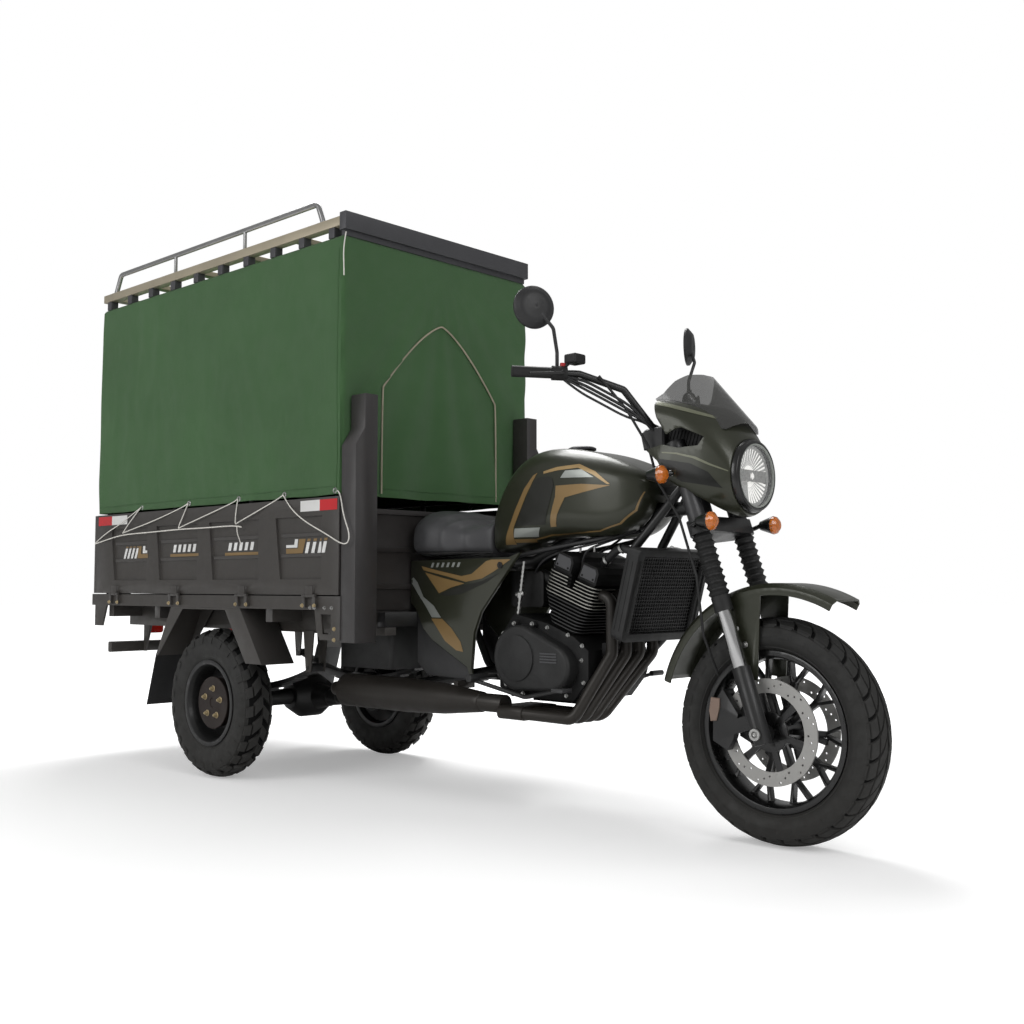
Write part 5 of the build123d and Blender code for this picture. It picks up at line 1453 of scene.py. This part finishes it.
@dataclass
class SidePanels:
    """Painted shapes and a bolt on the panels under the seat."""

    stripe: Outline = ((0.088, 0.801), (0.188, 0.782), (0.289, 0.765), (0.338, 0.772), (0.406, 0.814),
                       (0.430, 0.819), (0.520, 0.819), (0.444, 0.780), (0.387, 0.756), (0.309, 0.745),
                       (0.219, 0.764), (0.099, 0.786))
    wedge: Outline = ((0.106, 0.779), (0.208, 0.757), (0.304, 0.740), (0.239, 0.726), (0.178, 0.706))
    leaf: Outline = ((0.183, 0.703), (0.269, 0.728), (0.387, 0.748), (0.470, 0.776), (0.406, 0.742),
                     (0.289, 0.704), (0.209, 0.696))
    curl: Outline = ((0.030, 0.750), (0.046, 0.762), (0.067, 0.745), (0.099, 0.693), (0.152, 0.662),
                     (0.189, 0.622), (0.142, 0.622), (0.110, 0.661), (0.073, 0.700))
    tail: Outline = ((0.139, 0.618), (0.194, 0.618), (0.240, 0.587), (0.285, 0.542), (0.298, 0.508),
                     (0.265, 0.512), (0.209, 0.542))

    def build(self) -> None:
        """Lays the painted shapes on both panels."""
        surface = Surface("side_panels")
        shapes = []
        for side in (-1, 1):
            tag = "right" if side < 0 else "left"
            for name, shape, finish in (("stripe", self.stripe, TAN), ("wedge", self.wedge, TAN),
                                        ("leaf", self.leaf, KNEE_DARK), ("curl", self.curl, SILVER),
                                        ("tail", self.tail, TAN)):
                sticker(f"panel_{name}_{tag}", shape, finish, surface, side, "chassis")
            for k in range(6):
                x = 0.135 + k * 0.026
                sticker(f"panel_bar_{tag}_{k}", [(x, 0.796), (x + 0.012, 0.796), (x + 0.020, 0.812),
                                                 (x + 0.008, 0.812)], SILVER, surface, side, "chassis")
            shapes.append(boss((0.472, side * 0.1762, 0.800), (0, side, 0), 0.011, 0.006, 24))
            shapes.append(boss((0.472, side * 0.1820, 0.800), (0, side, 0), 0.006, 0.003, 6))
        points, faces = merge(shapes)
        build("panel_bolts", points, faces, PLASTIC, "chassis")
        LOG.info("side panels painted")


@dataclass
class Headlamp:
    """The lamp's fluted reflector, bulb shield, band and rings, with painted glow on the reflector, shield and
    band and painted shade on the reflector.
    """

    centre: Point = (1.325, 0.0, 1.053)
    radius: float = 0.0905

    def reflector(self) -> None:
        """A fluted bowl with painted glow, and painted shade on every other flute, on the two outer rings and
        in one lower sector.
        """
        x, y, z = self.centre
        flutes, rings = 72, 14
        points, faces = [], []
        for j in range(rings + 1):
            t = j / rings
            r = 0.016 + (self.radius - 0.016) * t
            for i in range(flutes):
                angle = 2 * math.pi * i / flutes
                wave = 0.0012 * (1 if i % 2 else -1) * smooth(0.1, 0.4, t)
                depth = -0.0178 + 0.018 * r / self.radius + wave * 0.5
                points.append(Vector((x + depth, y + r * math.cos(angle), z + r * math.sin(angle))))
        for j in range(rings):
            for i in range(flutes):
                k = (i + 1) % flutes
                faces.append([j * flutes + i, (j + 1) * flutes + i, (j + 1) * flutes + k, j * flutes + k])
        bowl = build("lamp_reflector", points, faces, REFLECTOR, "steering", rounded=False)
        bowl.data.materials.append(REFLECTOR_SHADE.material())
        # Painted shade: every other flute past the inner rings, the two outer rings and one lower sector take
        # the darker reflector_shade copy.
        for face in bowl.data.polygons:
            j, i = divmod(face.index, flutes)
            if j >= rings - 2 or (i % 2 and j > 2) or i in range(40, 52):
                face.material_index = 1

    def shield(self) -> None:
        """The small cap in front of the bulb."""
        x, y, z = self.centre
        cap = lathe([(0.0001, 0.004), (0.010, 0.003), (0.014, -0.004), (0.014, -0.016)], 24,
                    (x - 0.002, y, z), (1, 0, 0))
        # The cap takes the reflector's finish, with its painted glow.
        build("bulb_shield", *cap, REFLECTOR, "steering")

    def band(self) -> None:
        """The ridged band across the middle."""
        x, y, z = self.centre
        points, faces = [], []
        columns = 40
        for k in range(columns + 1):
            across = 0.078 * (2 * k / columns - 1)
            ridge = 0.0008 * (1 if k % 2 else -1)
            for height in (-0.017, 0.017):
                points.append(Vector((x + 0.001 + ridge, y + across, z + height)))
            if k:
                faces.append([2 * k - 2, 2 * k - 1, 2 * k + 1, 2 * k])
        # Painted glow: the band gives off a little light of its own, though the lamp is not lit.
        build("lamp_band", points, faces, LAMP_BAND, "steering", rounded=False)

    def rings(self) -> None:
        """The bright rim and the black ring round the lens."""
        rim = lathe([(self.radius - 0.001, 0.013), (self.radius, 0.0175), (self.radius + 0.0035, 0.0185),
                     (self.radius + 0.0045, 0.016)], 72, self.centre, (1, 0, 0))
        build("lamp_rim", *rim, SILVER, "steering")
        ring = lathe([(self.radius + 0.0046, 0.013), (self.radius + 0.006, 0.019), (self.radius + 0.012, 0.017),
                      (self.radius + 0.016, 0.008)], 72, self.centre, (1, 0, 0))
        build("lamp_ring", *ring, GLOSS_BLACK, "steering")

    def build(self) -> None:
        """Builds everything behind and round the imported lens."""
        self.reflector()
        self.shield()
        self.band()
        self.rings()
        LOG.info("headlamp built")


@dataclass
class Engine:
    """Bright fin edges, cover plates, bolts, the breather rod and the leads round the engine."""

    frame: Tilt = ENGINE
    half: float = 0.148
    corner: float = 0.030
    pitch: float = 0.011
    notch: float = -0.010
    case_face: float = 0.150
    clutch: Flat = (0.566, 0.500)
    clutch_ring: float = 0.116

    def fin_line(self, z: float) -> tuple[float, list[Flat]]:
        """A fin's outline round the cylinders, which widens up to the head.

        Args:
            z: its height up the cylinders.

        Returns:
            The place of its middle along the engine, and its corners round that middle.
        """
        up = min(1.0, z / 0.100)
        rear, front = 0.054 + 0.064 * up, 0.060 + 0.028 * up
        return (front - rear) / 2, rounded((front + rear) / 2 + 0.0003, self.half + 0.0003, self.corner)

    def fin_edges(self, name: str, levels: Iterable[int], finish: Finish) -> None:
        """Thin bright bands on the rims of some fins, left out where the notch cuts them.

        Args:
            name: the piece's name.
            levels: the fins' numbers from the bottom.
            finish: its surface.
        """
        points: list[Vector] = []
        faces: list[list[int]] = []
        for k in levels:
            z = k * self.pitch
            middle, line = self.fin_line(z)
            start, n = len(points), len(line)
            for x, y in line:
                points += [self.frame.at(middle + x, y, z + 0.0005), self.frame.at(middle + x, y, z + 0.0035)]
            for i in range(n):
                j = (i + 1) % n
                (x0, y0), (x1, y1) = line[i], line[j]
                if abs(y0) > 0.14 and abs(y1) > 0.14 and abs(x1 - x0) > 0.05 and z > 0.134:
                    faces += self._beside_notch(points, middle, line[i], line[j], z)
                    continue
                faces.append([start + 2 * i, start + 2 * j, start + 2 * j + 1, start + 2 * i + 1])
        build(name, points, faces, finish, "chassis")

    def _beside_notch(self, points: list[Vector], middle: float, a: Flat, b: Flat, z: float) -> list[list[int]]:
        """The two stretches of a fin's long rim on either side of the notch.

        Args:
            points: the corners so far, which it adds to.
            middle: the fin's middle along the engine.
            a: the rim's start.
            b: its end.
            z: the fin's height.

        Returns:
            The two faces.
        """
        wide = 0.012 + 0.006 * (z - 0.134) / 0.044
        sides = []
        for end, stop in ((a, self.notch - middle + wide), (b, self.notch - middle - wide)):
            if (end[0] - (self.notch - middle)) * (stop - (self.notch - middle)) < 0:
                stop = 2 * (self.notch - middle) - stop
            n = len(points)
            for x in (end[0], stop):
                points += [self.frame.at(middle + x, end[1], z + 0.0005),
                           self.frame.at(middle + x, end[1], z + 0.0035)]
            sides.append([n, n + 2, n + 3, n + 1])
        return sides

    def cover_plates(self) -> None:
        """Grey end plates on the two cam covers, with their screws."""
        plates, screws = [], []
        for x in (-0.064, 0.044):
            outline = [(x - 0.031, 0.186), (x - 0.027, 0.226), (x + 0.022, 0.226), (x + 0.031, 0.214),
                       (x + 0.031, 0.186)]
            for side in (-1, 1):
                plates.append(prism(self.frame, outline, side * 0.1421, side * 0.1450, 0.0015))
                for dx, z in ((-0.022, 0.193), (0.024, 0.193)):
                    screws.append(boss(self.frame.at(x + dx, side * 0.1450, z), (0, side, 0),
                                       0.0035, 0.0015, 12))
        build("cover_plates", *merge(plates), COVER_GREY, "chassis")
        build("cover_screws", *merge(screws), ENGINE_DARK, "chassis")

    def bolts(self) -> None:
        """Bright bolts round the clutch cover and on the crankcase."""
        shapes = []
        (cx, cz), ring = self.clutch, self.clutch_ring
        for k in range(70, 311, 40):
            angle = math.radians(k)
            shapes.append(hex_bolt((cx + ring * math.cos(angle), -self.case_face - 0.0180,
                                    cz + ring * math.sin(angle)), (0, -1, 0), 0.0058))
        for side in (-1, 1):
            for x, z in ((0.797, 0.500), (0.800, 0.545), (0.742, 0.577), (0.655, 0.598), (0.806, 0.430),
                         (0.735, 0.386), (0.462, 0.575), (0.462, 0.430)):
                shapes.append(hex_bolt((x, side * (self.case_face + 0.0002), z), (0, side, 0), 0.0055))
        build("engine_bolts", *merge(shapes), STEEL, "chassis")

    def clutch_marks(self) -> None:
        """Plain raised bars on the clutch cover's front half."""
        shapes = []
        for k in range(4):
            z = 0.489 + k * 0.0088
            shapes.append(prism(LEVEL, [(0.668, z), (0.738, z), (0.738, z + 0.005), (0.668, z + 0.005)],
                                -0.1995, -0.2022, 0.0008))
        build("clutch_bars", *merge(shapes), COVER_GREY, "chassis")

    def rod(self) -> None:
        """A ribbed breather rod with a cross fitting, standing on the crankcase."""
        foot, top = Vector((0.516, -0.138, 0.634)), Vector((0.546, -0.140, 0.812))
        length = (top - foot).length
        profile = [(0.0001, 0.0)]
        for k in range(24):
            z = length * k / 24
            wide = 0.0062 if k % 2 else 0.0046
            profile += [(wide, z), (wide, z + length / 24)]
        profile.append((0.0001, length))
        cross = lathe([(0.0001, -0.018), (0.007, -0.018), (0.009, -0.006), (0.009, 0.006), (0.007, 0.018),
                       (0.0001, 0.018)], 16, foot.lerp(top, 0.40), (1.0, 0.0, 0.1))
        nut = lathe([(0.0001, -0.008), (0.011, -0.008), (0.011, 0.008), (0.0001, 0.008)], 6,
                    foot.lerp(top, 0.38), top - foot)
        build("breather_rod", *merge([lathe(profile, 14, foot, top - foot), cross, nut]), STEEL, "chassis")

    def leads(self) -> None:
        """Plug leads, cables and pipes between the tank, the engine and the radiator."""
        routes = (("lead_a", ((0.640, -0.09, 0.795), (0.650, -0.10, 0.835), (0.720, -0.10, 0.862),
                              (0.800, -0.06, 0.890)), 0.0042),
                  ("lead_b", ((0.760, -0.10, 0.775), (0.775, -0.12, 0.830), (0.830, -0.11, 0.862),
                              (0.900, -0.05, 0.890)), 0.0042),
                  ("throttle_cable", ((0.930, -0.04, 0.905), (0.850, -0.11, 0.868), (0.700, -0.135, 0.842),
                                      (0.600, -0.125, 0.810), (0.560, -0.100, 0.775)), 0.0038),
                  ("wire_loom", ((0.945, 0.03, 0.915), (0.880, -0.09, 0.885), (0.720, -0.115, 0.862),
                                 (0.560, -0.120, 0.842), (0.470, -0.110, 0.825)), 0.0085),
                  ("coolant_pipe", ((0.985, -0.13, 0.835), (0.950, -0.13, 0.850), (0.900, -0.12, 0.835),
                                    (0.850, -0.10, 0.800)), 0.0130),
                  ("lower_pipe", ((0.935, 0.13, 0.590), (0.905, 0.13, 0.560), (0.860, 0.13, 0.520),
                                  (0.826, 0.12, 0.500)), 0.0130))
        for name, route, radius in routes:
            for side, tag in ((1, "right"), (-1, "left")):
                if side < 0 and name == "lower_pipe":
                    continue
                bar(f"{name}_{tag}", [(x, side * y, z) for x, y, z in route], radius, CABLE, "chassis")

    def fittings(self) -> None:
        """Small bright studs and clips on the dark parts under the tank."""
        shapes = []
        for side in (-1, 1):
            for x, y, z, tall in ((0.761, 0.110, 0.838, 0.020), (0.820, 0.112, 0.838, 0.018),
                                  (0.895, 0.118, 0.828, 0.012), (0.640, 0.094, 0.792, 0.016)):
                shapes.append(boss((x, side * y, z), (0.1, 0, 1), 0.0036, tall, 10))
            for x, y, z in ((0.868, 0.110, 0.812), (0.945, 0.133, 0.846)):
                shapes.append(lathe([(0.0135, -0.004), (0.0148, -0.004), (0.0148, 0.004), (0.0135, 0.004)], 24,
                                    (x, side * y, z), (1.0, 0.0, 0.5)))
        build("engine_fittings", *merge(shapes), STEEL, "chassis")

    def build(self) -> None:
        """Builds everything on and round the engine."""
        self.fin_edges("fins_bright", range(9, 16), FIN_BRIGHT)
        self.fin_edges("fins_dull", range(1, 9), FIN_DULL)
        self.cover_plates()
        self.bolts()
        self.clutch_marks()
        self.rod()
        self.leads()
        self.fittings()
        LOG.info("engine details built")


@dataclass
class Radiator:
    """The radiator's core behind a fine square mesh."""

    frame: Tilt = RADIATOR
    half: float = 0.156
    low: float = -0.1185
    high: float = 0.1225
    rear: float = -0.016
    face: float = 0.010
    across: int = 26
    rows: int = 22

    def slab(self, x: tuple[float, float], y: tuple[float, float], z: tuple[float, float]) -> Shape:
        """A leaning box."""
        return prism(self.frame, [(x[0], z[0]), (x[1], z[0]), (x[1], z[1]), (x[0], z[1])], y[0], y[1], 0.0001)

    def build(self) -> None:
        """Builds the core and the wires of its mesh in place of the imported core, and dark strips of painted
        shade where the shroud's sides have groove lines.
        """
        shapes = [self.slab((self.rear, self.face - 0.004), (-self.half, self.half), (self.low, self.high))]
        for k in range(self.across):
            y = -self.half + 2 * self.half * (k + 0.5) / self.across
            shapes.append(self.slab((self.face - 0.001, self.face + 0.002), (y - 0.0010, y + 0.0010),
                                    (self.low, self.high)))
        for k in range(self.rows):
            z = self.low + (self.high - self.low) * (k + 0.5) / self.rows
            shapes.append(self.slab((self.face, self.face + 0.003), (-self.half, self.half),
                                    (z - 0.0010, z + 0.0010)))
        # Painted shade: thin dark strips laid on the shroud's sides stand in for the shade down in its groove
        # lines.
        groove_shades = []
        for side in (-1, 1):
            for x in (-0.012, 0.006):
                groove_shades.append(prism(self.frame, [(x - 0.0013, -0.112), (x + 0.0013, -0.112),
                                                  (x + 0.0013, 0.105), (x - 0.0013, 0.105)],
                                     side * 0.1895, side * 0.1903, 0.0002))
        build("shroud_groove_shade", *merge(groove_shades), ENGINE_DARK, "chassis")
        core = build("radiator_mesh", *merge(shapes), MESH_BLACK, "chassis")
        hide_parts("radiator_core")
        LOG.info("radiator mesh of %d by %d cells", self.across, self.rows)


@dataclass
class ForkSleeves:
    """Dark sleeves on the fork tubes between the yokes."""

    half: float = 0.112
    spans: Outline = ((0.636, 0.858),)

    def build(self) -> None:
        """Builds the sleeves on both tubes."""
        shapes = []
        for low, high in self.spans:
            for side in (-1, 1):
                profile = [(0.0212, 0.0), (0.0262, 0.0), (0.0262, high - low), (0.0212, high - low)]
                shapes.append(lathe(profile, 32, FORK.at(0.0, side * self.half, low), FORK.way(0, 0, 1)))
        build("fork_sleeves", *merge(shapes), FRAME_BLACK, "steering")
        LOG.info("fork sleeves built")


@dataclass
class WheelMetal:
    """Hub drums with studs on the rear wheels, and bright parts round the front axle."""

    hub_radius: float = 0.100
    hub_depth: float = 0.036
    stud_ring: float = 0.054
    caliper: Outline = ((-0.132, 0.140), (-0.104, 0.128), (-0.112, 0.104), (-0.136, 0.070), (-0.156, 0.074),
                        (-0.152, 0.104))

    def hub(self, name: str, side: int, body: str) -> None:
        """A brown drum inside the rear wheel, with five plated nuts on its studs.

        Args:
            name: the start of its pieces' names.
            side: 1 for the rider's left, -1 for the right.
            body: the wheel's body.
        """
        x, z = REAR_AXLE_X, REAR_RADIUS
        start = HALF_TRACK + 0.0002
        deep = self.hub_depth
        drum = lathe([(0.066, 0.0), (self.hub_radius - 0.006, 0.0), (self.hub_radius - 0.006, deep - 0.010),
                      (self.hub_radius, deep - 0.008), (self.hub_radius, deep - 0.002),
                      (self.hub_radius - 0.002, deep), (0.020, deep), (0.018, deep - 0.003),
                      (0.0001, deep - 0.003)], 64, (x, side * start, z), (0, side, 0))
        nuts = []
        for k in range(5):
            angle = 2 * math.pi * (k + 0.2) / 5
            spot = Vector((x + self.stud_ring * math.cos(angle), side * (start + deep),
                           z + self.stud_ring * math.sin(angle)))
            nuts.append(boss(spot, (0, side, 0), 0.0125, 0.0025, 24))
            nuts.append(lathe([(0.0048, 0.0), (0.0088, 0.0), (0.0088, 0.007), (0.0072, 0.010), (0.0048, 0.010)],
                              6, spot, (0, side, 0)))
            nuts.append(boss(spot, (0, side, 0), 0.0046, 0.015, 12))
        build(f"{name}_drum", *drum, HUB_BROWN, body)
        build(f"{name}_nuts", *merge(nuts), BRASS, body)

    def front(self) -> None:
        """Caliper faces, axle rings and the fender's bolts."""
        faces, rings, bolts = [], [], []
        sliders, fender = Surface("fork_sliders"), Surface("front_fender")
        for side in (-1, 1):
            faces.append(prism(FORK, self.caliper, side * 0.0981, side * 0.1010, 0.002))
            end = sliders.along_y(FRONT_AXLE[0], FRONT_AXLE[2], side)
            if end:
                rings.append(lathe([(0.0085, 0.0), (0.0175, 0.0), (0.0165, 0.0035), (0.0095, 0.0035)], 32,
                                   end[0], (0, side, 0), closed=True))
                rings.append(hex_bolt(end[0], (0, side, 0), 0.0055))
            for x, z in ((1.316, 0.609), (1.345, 0.565)):
                found = fender.along_y(x, z, side)
                if found:
                    bolts.append(boss(found[0], (0, side, 0), 0.0088, 0.0045, 20))
                    bolts.append(boss(found[0] + Vector((0, side * 0.004, 0)), (0, side, 0), 0.0045, 0.0022, 6))
        build("caliper_faces", *merge(faces), BRONZE, "steering")
        build("axle_rings", *merge(rings), STEEL, "steering")
        build("fender_bolts", *merge(bolts), STEEL, "steering")

    def build(self) -> None:
        """Builds the metal on all three wheels."""
        self.hub("hub_right", -1, "rear_wheel_right")
        self.hub("hub_left", 1, "rear_wheel_left")
        self.front()
        LOG.info("hub drums, caliper faces and axle rings built")


@dataclass
class FairingTrim:
    """The glossy inset, painted highlight lines along the creases and the intake mesh on the fairing, and the
    cables behind it.
    """

    inset: Outline = ((1.106, 1.108), (1.209, 1.088), (1.262, 1.060), (1.300, 1.012), (1.245, 1.024),
                      (1.180, 1.036), (1.140, 1.062))
    crease: Outline = ((1.120, 1.127), (1.167, 1.122), (1.227, 1.106), (1.269, 1.084), (1.318, 1.062),
                       (1.318, 1.059), (1.264, 1.080), (1.218, 1.102), (1.166, 1.117), (1.120, 1.123))
    shoulder: Outline = ((1.090, 1.284), (1.178, 1.257), (1.262, 1.226), (1.262, 1.219), (1.215, 1.234),
                         (1.140, 1.258), (1.090, 1.272))

    def stickers(self) -> None:
        """Painted shapes on both sides: the black inset, and painted highlights along the crease and the
        shoulder.
        """
        surface = Surface("fairing")
        for side, tag in ((-1, "right"), (1, "left")):
            sticker(f"fairing_inset_{tag}", self.inset, INSET_BLACK, surface, side, "steering")
            # Painted highlight: lighter olive lines along the crease and the shoulder.
            sticker(f"fairing_crease_highlight_{tag}", self.crease, OLIVE_HIGHLIGHT, surface, side, "steering", step=0.006)
            sticker(f"fairing_shoulder_highlight_{tag}", self.shoulder, OLIVE_HIGHLIGHT, surface, side, "steering", step=0.006)

    def intakes(self) -> None:
        """A black panel with a slanted mesh inside each intake, and the dark block at its rear."""
        shapes, blocks = [], []
        outline = [(1.075, 1.128), (1.250, 1.128), (1.250, 1.205), (1.150, 1.250), (1.075, 1.290)]
        for side in (-1, 1):
            shapes.append(prism(LEVEL, outline, side * 0.096, side * 0.104, 0.0005))
            for k in range(14):
                x = 1.080 + k * 0.0125
                shapes.append(prism(LEVEL, [(x, 1.132), (x + 0.002, 1.132), (x + 0.024, 1.195),
                                            (x + 0.022, 1.195)], side * 0.104, side * 0.1065, 0.0003))
            blocks.append(prism(LEVEL, [(1.012, 1.192), (1.030, 1.205), (1.100, 1.212), (1.100, 1.150),
                                        (1.062, 1.138), (1.024, 1.142)], side * 0.070, side * 0.128, 0.006))
        build("intake_mesh", *merge(shapes), ENGINE_DARK, "steering")
        build("side_blocks", *merge(blocks), DARK_PLASTIC, "steering")

    def cables(self) -> None:
        """Control cables from each switch block down behind the fairing."""
        for side, tag in ((-1, "right"), (1, "left")):
            for k, (rise, reach) in enumerate(((0.0, 0.0), (0.010, 0.008), (-0.014, 0.004), (-0.026, -0.006))):
                route = [(0.872, side * 0.342, 1.362), (0.915 + reach, side * 0.300, 1.342 + rise),
                         (0.970 + reach, side * 0.250, 1.302 + rise),
                         (1.020 + reach, side * 0.195, 1.262 + rise),
                         (1.052, side * (0.150 - 0.004 * k), 1.222), (1.075, side * (0.105 - 0.006 * k), 1.180)]
                bar(f"control_cable_{tag}_{k}", route, 0.0046 - 0.0003 * k, CABLE, "steering")

    def buttons(self) -> None:
        """Red stop button on the right switch block and a small dark rocker on the left one."""
        for side, finish, name in ((-1, RED_BUTTON, "stop_button"), (1, PLASTIC, "horn_button")):
            base = Vector((0.878, side * 0.331, 1.388))
            build(name, *boss(base, (0.15, 0, 1), 0.0085, 0.0125, 24), finish, "steering")

    def build(self) -> None:
        """Builds everything on the fairing."""
        self.stickers()
        self.intakes()
        self.cables()
        self.buttons()
        LOG.info("fairing trimmed")


@dataclass
class Mirrors:
    """Glass faces on the round mirrors."""

    centre: Point = (0.822, 0.400, 1.566)
    radius: float = 0.059

    def build(self) -> None:
        """Builds the glass of both mirrors."""
        shapes = []
        for side in (-1, 1):
            x, y, z = self.centre
            facing = Vector((-0.9, -0.42 * side, 0.0)).normalized()
            centre = Vector((x, side * y, z)) + facing * 0.0006
            shapes.append(lathe([(0.0001, 0.0012), (self.radius * 0.6, 0.0009), (self.radius, 0.0)],
                                48, centre, facing))
        points, faces = merge(shapes)
        build("mirror_glass", points, faces, MIRROR, "steering")
        LOG.info("mirror glass built")


@dataclass
class Undressed:
    """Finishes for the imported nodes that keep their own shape."""

    finishes: tuple[tuple[Finish, str], ...] = (
        (FRAME_BLACK, "chassis_frame foot_controls rear_axle leaf_springs drive_shaft canopy_frame"),
        (FRAME_BLACK, "fork_sliders yokes calipers handlebar rear_rim_left rear_rim_right"),
        (ENGINE_DARK, "crankcase cylinders air_box"),
        (PLASTIC, "engine_covers radiator_shroud battery_box instrument_pod"),
        (DARK_PLASTIC, "lower_covers mud_flaps mirrors"),
        (PIPE_BLACK, "exhaust_headers muffler"),
        (OLIVE, "fuel_tank side_panels front_fender fairing"),
        (STRIP_GREY, "fuel_cap roof_blocks"),
        (BED_GREY, "bed_frame bed_floor mudguards rear_bumper side_gate_right side_gate_left tailgate"),
        (GUARD_BLACK, "bed_front_guard"),
        (BEIGE, "roof_beams"),
        (RACK, "roof_rack"),
        (GLOSS_BLACK, "headlamp_body indicator_bodies front_rim"),
        (RUBBER, "fork_gaiters bar_controls brake_hoses"),
        (CHROME, "fork_tubes"),
        (DISC_STEEL, "brake_discs"),
        (CLEAR, "headlamp_lens"),
        (SMOKE, "windscreen"),
        (AMBER, "indicator_lenses"),
        (RED_LENS, "tail_lamps"),
    )
    plain: frozenset[str] = frozenset(("fork_gaiters", "headlamp_lens", "windscreen",
                                       "brake_discs", "brake_hoses", "indicator_lenses"))
    fine: frozenset[str] = frozenset(("fuel_tank", "fairing", "side_panels"))

    def bevel(self, node: str) -> float:
        """The width of a node's softened edges."""
        if node in self.plain:
            return 0.0
        return 0.0003 if node in self.fine else 0.0012

    def build(self) -> None:
        """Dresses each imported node."""
        for finish, nodes in self.finishes:
            for node in nodes.split():
                dress(node, finish, self.bevel(node))


def main() -> None:
    """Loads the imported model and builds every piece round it."""
    logging.basicConfig(level=logging.INFO, format="%(name)s: %(message)s")
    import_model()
    Studio().build()
    front = TyreSize(FRONT_RADIUS, 0.138, 0.228, 0.044)
    rear = TyreSize(REAR_RADIUS, 0.130, 0.164, 0.050)
    left, right = (REAR_AXLE_X, HALF_TRACK, REAR_RADIUS), (REAR_AXLE_X, -HALF_TRACK, REAR_RADIUS)
    pieces = [
        Undressed(),
        Canopy(),
        Lacing(),
        Gates(),
        Tyre("front_tread", "front_tyre", "front_wheel", front, FRONT_AXLE, Tread.ROAD_ARCS, 34, 0.007),
        Tyre("rear_tread_left", "rear_tyre_left", "rear_wheel_left", rear, left,
             Tread.CHEVRON_LUGS, 24, 0.010),
        Tyre("rear_tread_right", "rear_tyre_right", "rear_wheel_right", rear, right,
             Tread.CHEVRON_LUGS, 24, 0.010),
        Seat(),
        Tank(),
        SidePanels(),
        Engine(),
        Radiator(),
        ForkSleeves(),
        WheelMetal(),
        FairingTrim(),
        Headlamp(),
        Mirrors(),
    ]
    for piece in pieces:
        piece.build()


if __name__ == "__main__":
    main()
